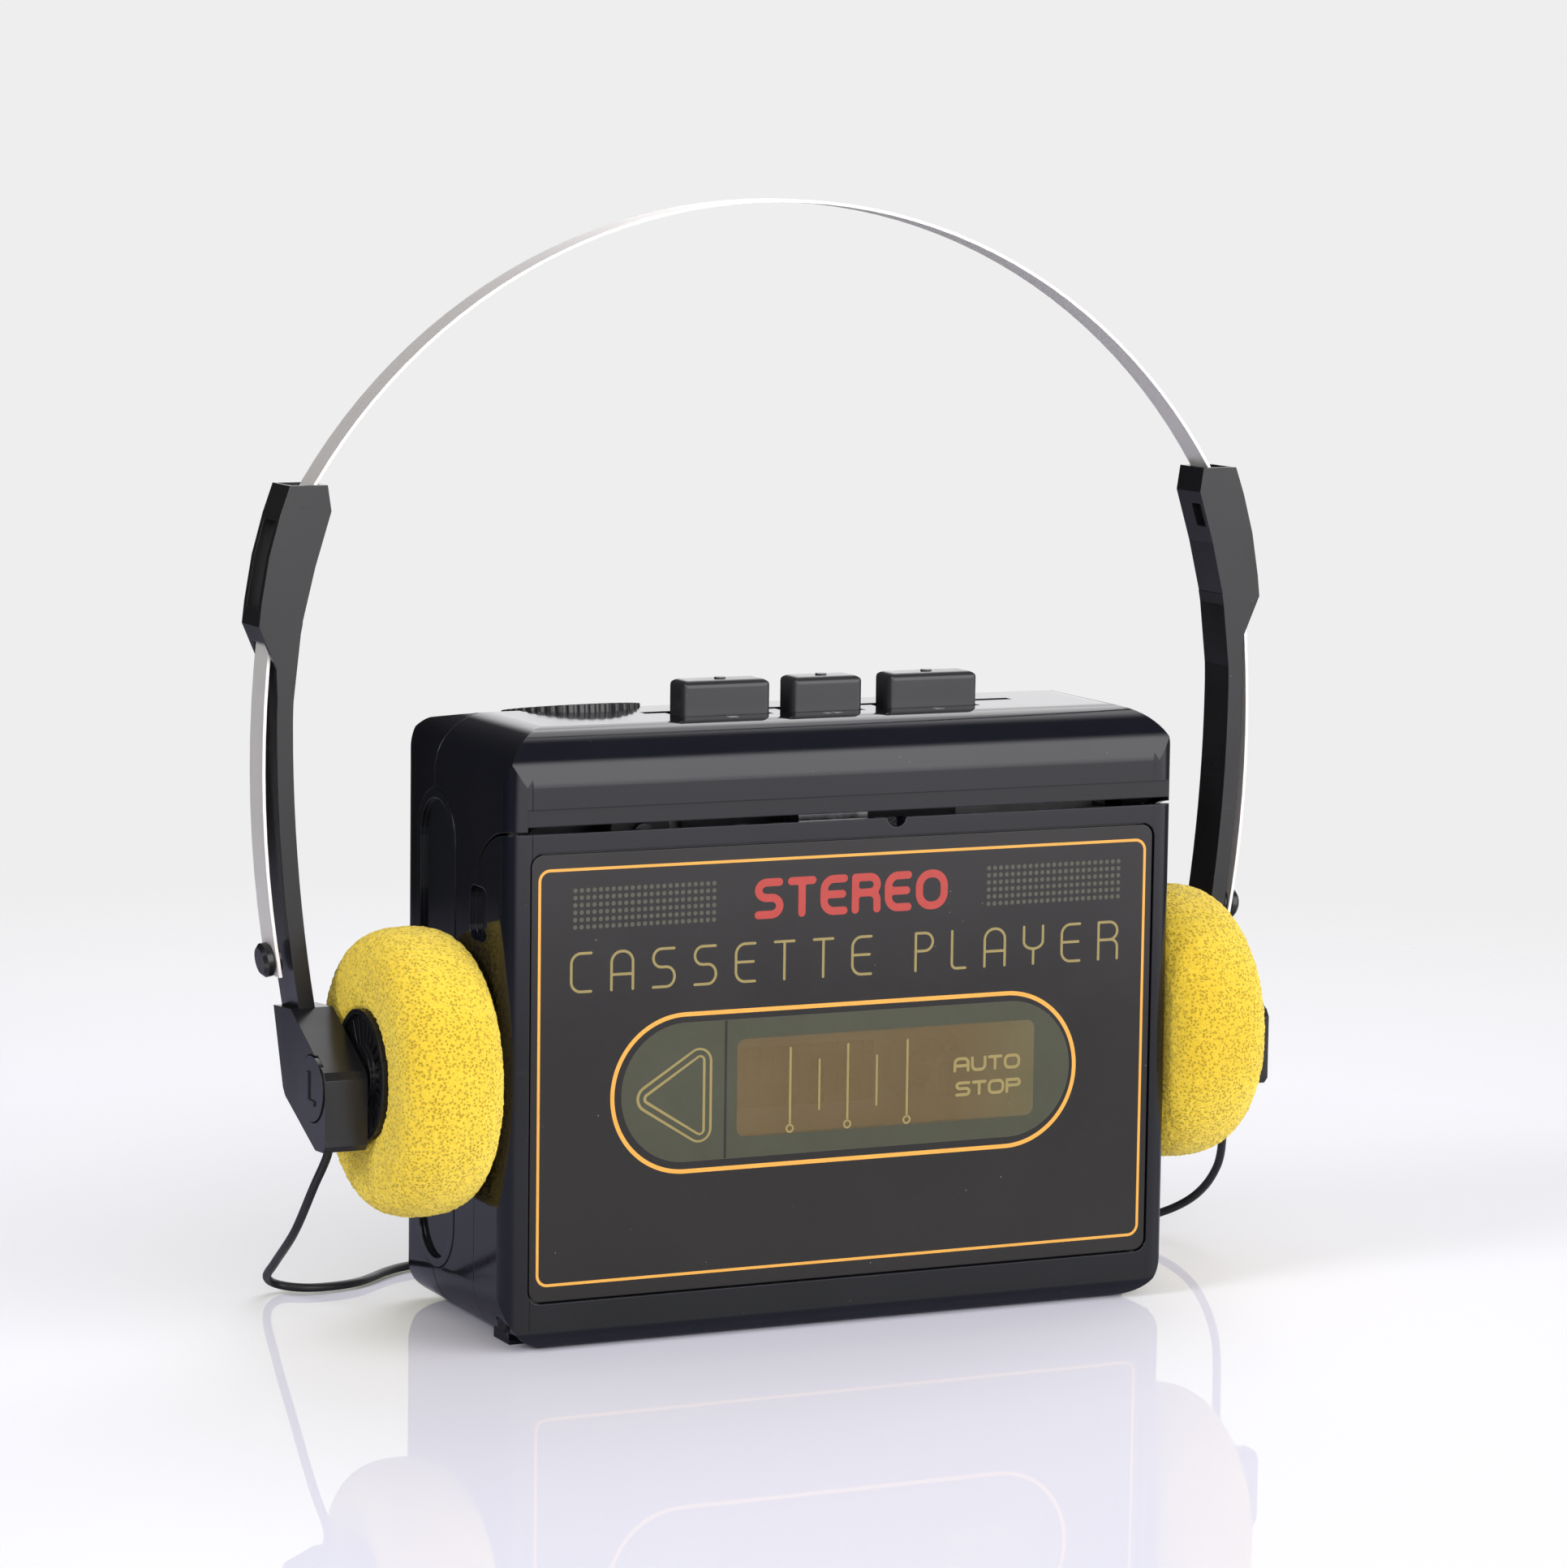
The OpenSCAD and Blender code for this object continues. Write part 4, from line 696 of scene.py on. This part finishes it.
def outlines(strokes, width, step):
    """Closed outlines of thick strokes, traced on a fine grid with exact crossings."""
    pts = np.concatenate([np.asarray(s, float) for s in strokes])
    low = pts.min(0) - width
    count = np.ceil((pts.max(0) + width - low) / step).astype(int) + 1
    xs, zs = low[0] + step * np.arange(count[0]), low[1] + step * np.arange(count[1])
    gx, gz = np.meshgrid(xs, zs, indexing="ij")
    f = (distance_field(np.stack([gx.ravel(), gz.ravel()], 1), strokes) - width / 2).reshape(gx.shape)
    inside = f < 0
    code = (inside[:-1, :-1] * 1 + inside[1:, :-1] * 2 + inside[1:, 1:] * 4 + inside[:-1, 1:] * 8)
    # each edge of a cell is named by its lower corner and its direction (0 along x, 1 along z)
    table = {1: [("l", "b")], 2: [("b", "r")], 3: [("l", "r")], 4: [("r", "t")], 5: [("l", "t"), ("r", "b")],
             6: [("b", "t")], 7: [("l", "t")], 8: [("t", "l")], 9: [("t", "b")], 10: [("t", "r"), ("b", "l")],
             11: [("t", "r")], 12: [("r", "l")], 13: [("r", "b")], 14: [("b", "l")]}
    nxt = {}
    for i, j in zip(*np.nonzero((code > 0) & (code < 15))):
        names = {"b": (i, j, 0), "t": (i, j + 1, 0), "l": (i, j, 1), "r": (i + 1, j, 1)}
        for a, b in table[int(code[i, j])]:
            nxt[names[a]] = names[b]
    loops = []
    while nxt:
        start, here = next(iter(nxt.items()))
        del nxt[start]
        loop = [start]
        while here != start and here in nxt:
            loop.append(here)
            here = nxt.pop(here)
        spots = []
        for i, j, d in loop:
            i2, j2 = (i + 1, j) if d == 0 else (i, j + 1)
            t = f[i, j] / (f[i, j] - f[i2, j2])
            spots.append((xs[i] + t * (xs[i2] - xs[i]), zs[j] + t * (zs[j2] - zs[j])))
        loops.append(np.array(spots))
    return [thin_loop(p, step * 0.02) for p in loops if len(p) > 5]


def thin_loop(points, slack):
    """Drops the points that lie on the line of their neighbours."""
    keep = list(range(len(points)))
    for _ in range(4):
        kept, n = [], len(keep)
        skip = False
        for k in range(n):
            a, b, c = points[keep[k - 1]], points[keep[k]], points[keep[(k + 1) % n]]
            line = c - a
            off = abs(line[0] * (b - a)[1] - line[1] * (b - a)[0]) / (np.linalg.norm(line) + 1e-12)
            if off < slack and not skip:
                skip = True
                continue
            skip = False
            kept.append(keep[k])
        if len(kept) == n or len(kept) < 4:
            break
        keep = kept
    return points[keep]


def signed_area(loop):
    x, z = loop[:, 0], loop[:, 1]
    return 0.5 * float(np.sum(x * np.roll(z, -1) - np.roll(x, -1) * z))


def within(point, loop):
    x, z = loop[:, 0], loop[:, 1]
    x2, z2 = np.roll(x, -1), np.roll(z, -1)
    over = (z > point[1]) != (z2 > point[1])
    with np.errstate(divide="ignore", invalid="ignore"):
        at = x + (point[1] - z) / (z2 - z) * (x2 - x)
    return bool(np.sum(over & (point[0] < at)) % 2)


def nested(loops):
    """Groups of one outline and the holes that lie in it."""
    loops = [np.asarray(p, float) for p in loops]
    depth = [sum(within(p[0], q) for q in loops if q is not p) for p in loops]
    groups = []
    for p, d in zip(loops, depth):
        if d % 2 == 0:
            outer = p if signed_area(p) > 0 else p[::-1]
            holes = [q if signed_area(q) < 0 else q[::-1]
                     for q, e in zip(loops, depth) if e == d + 1 and within(q[0], p)]
            groups.append([outer] + holes)
    return groups


def plate(name, loops, front, depth, material, body="door"):
    """Flat printed film from closed outlines with holes, facing the front."""
    verts, faces = [], []
    for group in nested(loops):
        first = len(verts)
        flat = [[Vector((x * MM, z * MM, 0)) for x, z in loop] for loop in group]
        total = sum(len(p) for p in flat)
        for y in (front, front + depth):
            verts += [(v.x, y, v.y) for p in flat for v in p]
        for a, b, c in tessellate_polygon(flat):
            pa, pb, pc = (verts[first + k] for k in (a, b, c))
            turn = (pb[0] - pa[0]) * (pc[2] - pa[2]) - (pb[2] - pa[2]) * (pc[0] - pa[0])
            if abs(turn) < 1e-16:
                continue
            tri = (a, b, c) if turn > 0 else (a, c, b)
            faces.append(tuple(first + k for k in tri))
            faces.append(tuple(first + total + k for k in reversed(tri)))
        start = first
        for p in flat:
            n = len(p)
            faces += [(start + k, total + start + k, total + start + (k + 1) % n, start + (k + 1) % n)
                      for k in range(n)]
            start += n
    obj = mesh_object(name, verts, faces, smooth=False)
    obj.data.materials.append(material)
    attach(obj, body)
    return obj


def rounded(cx, cz, w, h, r, steps=12):
    out = []
    for sx, sz, a in ((1, 1, 0), (-1, 1, 90), (-1, -1, 180), (1, -1, 270)):
        out += arc(cx + sx * (w / 2 - r), cz + sz * (h / 2 - r), r, r, a, a + 90, steps)
    return np.array(out)


INK_ORANGE = ink("ink_orange", (0.70, 0.35, 0.065))
INK_RED = ink("ink_red", (0.40, 0.050, 0.042))
INK_KHAKI = ink("ink_khaki", (0.27, 0.215, 0.082))
INK_GREEN = ink("ink_green", (0.055, 0.057, 0.037))
INK_DARK = ink("ink_dark", (0.020, 0.018, 0.018))
INK_DOTS = ink("ink_dots", (0.075, 0.075, 0.055))
INK_WHITE = ink("ink_white", (0.45, 0.46, 0.48))


def glyph(letter, w, h, c):
    """Strokes of one letter in a w by h box; c is the corner radius."""
    m = h * 0.52
    bowl = (h - m) / 2
    loop = [(0, h)] + arc(w - bowl, h - bowl, bowl, bowl, 90, -90) + [(0, m)]
    cup = arc(w / 2, h * 0.6, w / 2, h * 0.2, 180, 270) + arc(w / 2, h * 0.6, w / 2, h * 0.2, 270, 360)
    table = {
        "C": [[(w, h)] + arc(c, h - c, c, c, 90, 180) + arc(c, c, c, c, 180, 270) + [(w, 0)]],
        "A": [[(0, 0)] + arc(c, h - c, c, c, 180, 90) + arc(w - c, h - c, c, c, 90, 0) + [(w, 0)],
              [(0, h * 0.4), (w, h * 0.4)]],
        "S": [[(w * 0.97, h)] + arc(c * 0.8, h - (h - m) / 2, c * 0.8, (h - m) / 2, 90, 270)
              + arc(w - c * 0.8, m / 2, c * 0.8, m / 2, 90, -90) + [(0, 0)]],
        "E": [[(w, h)] + arc(c, h - c, c, c, 90, 180) + arc(c, c, c, c, 180, 270) + [(w, 0)],
              [(0, m), (w * 0.92, m)]],
        "T": [[(0, h), (w, h)], [(w * 0.5, h), (w * 0.5, 0)]],
        "P": [[(0, 0), (0, h)], loop],
        "L": [[(0, h)] + arc(c * 0.7, c * 0.7, c * 0.7, c * 0.7, 180, 270) + [(w, 0)]],
        "Y": [[(0, h)] + cup + [(w, h)], [(w / 2, h * 0.4), (w / 2, 0)]],
        "R": [[(0, 0), (0, h)], loop,
              [(w * 0.55, m)] + arc(w - c * 0.7, m - c * 0.7, c * 0.7, c * 0.7, 90, 0) + [(w, 0)]],
        "O": [list(rounded(w / 2, h / 2, w, h, c)) + [tuple(rounded(w / 2, h / 2, w, h, c)[0])]],
        "U": [[(0, h)] + arc(c, c, c, c, 180, 270) + arc(w - c, c, c, c, 270, 360) + [(w, h)]],
    }
    return table[letter]


def lettering(name, word, x, z, height, widths, gap, weight, corner, material):
    """One word in rounded stroke letters; x and z are the lower left of the ink."""
    strokes_at = []
    h = height - weight
    for letter in word:
        if letter == " ":
            x += widths[" "]
            continue
        w = widths[letter] - weight
        for stroke in glyph(letter, w, h, min(corner, w * 0.49, h * 0.45)):
            strokes_at.append([(x + weight / 2 + p[0], z + weight / 2 + p[1]) for p in stroke])
        x += widths[letter] + gap
    return plate(name, outlines(strokes_at, weight, weight / 5), PRINT_Y - INK, INK * 1.5, material)


def ring_line(name, outer, inner, material):
    return plate(name, [outer, inner], PRINT_Y - INK, INK * 1.5, material)


def make_graphics():
    low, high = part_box("door_panel")
    w, h = 105.0, 64.7
    cx, cz = 0.0, 42.65
    ring_line("print_border", rounded(cx, cz, w, h, 1.9), rounded(cx, cz, w - 0.9, h - 0.9, 1.45),
              INK_ORANGE)
    ring_line("print_pill", rounded(0.1, 39.0, 80.85, 25.3, 12.6, 40),
              rounded(0.1, 39.0, 79.5, 23.95, 11.95, 40), INK_ORANGE)
    window = rounded(7, 39.15, 51.9, 15.4, 1.35)
    zone = rounded(0.4, 39.1, 77.8, 21.9, 10.9, 40)
    plate("print_zone", [zone, window], PRINT_Y - INK * 0.5, INK, INK_GREEN)
    plate("print_divider", [rounded(-20.9, 39.1, 0.42, 21.7, 0.1, 3)], PRINT_Y - INK, INK * 1.5, INK_DARK)
    lettering("print_stereo", "STEREO", -16.3, 65.5, 6.3,
              {"S": 4.9, "T": 4.9, "E": 4.7, "R": 5.0, "O": 5.6}, 0.72, 1.25, 2.0, INK_RED)
    lettering("print_title", "CASSETTE PLAYER", -47.2, 55.65, 6.35,
              {"C": 3.7, "A": 4.0, "S": 4.0, "E": 3.65, "T": 3.7, " ": 4.4, "P": 3.4, "L": 2.8, "Y": 3.8,
               "R": 3.8}, 2.98, 0.42, 1.7, INK_KHAKI)
    lettering("print_auto", "AUTO", 18.65, 39.15, 2.4, {"A": 2.85, "U": 2.75, "T": 2.6, "O": 2.95}, 0.24, 0.5,
              0.75, INK_KHAKI)
    lettering("print_stop", "STOP", 19.05, 35.25, 2.4, {"S": 2.7, "T": 2.6, "O": 2.95, "P": 2.75}, 0.22, 0.5,
              0.75, INK_KHAKI)
    make_dots()
    make_ticks()
    make_arrow()


def disc(cx, cz, r, steps=14):
    return np.array(arc(cx, cz, r, r, 0, 360 - 360 / steps, steps))


def make_dots():
    for name, x0 in (("print_dots_left", -46.4), ("print_dots_right", 24.35)):
        loops = [disc(x0 + 1.055 * i, 65.85 + 1.135 * k, 0.36) for i in range(23) for k in range(6)]
        plate(name, loops, PRINT_Y - INK, INK * 1.5, INK_DOTS)


def make_ticks():
    loops = []
    for k, x in enumerate((-9.82, -4.8, 0.12, 5.16, 10.5)):
        if k % 2:
            loops.append(rounded(x, 38.85, 0.34, 8.2, 0.15, 3))
        else:
            loops.append(rounded(x, 38.95, 0.38, 12.3, 0.15, 3))
            loops += [disc(x, 32.2, 0.72, 20), disc(x, 32.2, 0.4, 20)]
    plate("print_ticks", loops, PRINT_Y - INK, INK * 1.5, INK_KHAKI)


def rounded_triangle(tip, side, half, r):
    """Left pointing triangle with rounded corners."""
    p = [np.array(v, float) for v in ((tip, 38.5), (side, 38.5 + half), (side, 38.5 - half))]
    out = []
    for k in range(3):
        a, b, c = p[k - 1], p[k], p[(k + 1) % 3]
        u, v = (a - b) / np.linalg.norm(a - b), (c - b) / np.linalg.norm(c - b)
        half_angle = math.acos(float(u @ v)) / 2
        back = r / math.tan(half_angle)
        centre = b + (u + v) / np.linalg.norm(u + v) * r / math.sin(half_angle)
        s, e = b + u * back - centre, b + v * back - centre
        a0, a1 = math.atan2(s[1], s[0]), math.atan2(e[1], e[0])
        while a1 - a0 > math.pi:
            a1 -= 2 * math.pi
        while a1 - a0 < -math.pi:
            a1 += 2 * math.pi
        out += [centre + r * np.array((math.cos(t), math.sin(t))) for t in np.linspace(a0, a1, 12)]
    return np.array(out)


def make_arrow():
    line = 0.42
    for name, tip, side, half, r in (("print_arrow_outer", -37.9, -23.2, 9.2, 2.2),
                                     ("print_arrow_inner", -35.6, -24.35, 7.0, 0.9)):
        outer = rounded_triangle(tip, side, half, r)
        inner = rounded_triangle(tip + line * 2.1, side - line, half - line * 1.55, max(0.3, r - line))
        ring_line(name, outer, inner, INK_KHAKI)


def make_legends():
    """White symbols printed on the top in front of the keys: stop, forward, play."""
    def arrow(x, size):
        return np.array([(x, -11.9), (x + size, -11.15), (x, -10.4)])
    keys = [[float(v[0]) * 1000 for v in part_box(name)] for name in ("stop_key", "forward_key", "play_key")]
    square, forward, play = ((a + b) / 2 for a, b in keys)
    signs = {"print_stop_sign": [rounded(square, -11.15, 1.6, 1.4, 0.1, 3)],
             "print_forward_sign": [arrow(forward - 1.6, 1.5), arrow(forward + 0.1, 1.5)],
             "print_play_sign": [arrow(play - 0.9, 1.9)]}
    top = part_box("front_case")[1][2]
    for name, loops in signs.items():
        obj = plate(name, loops, -top - INK * 0.5, INK, INK_WHITE, "case")
        obj.data.transform(Matrix.Rotation(-math.pi / 2, 4, "X"))


make_graphics()
make_legends()
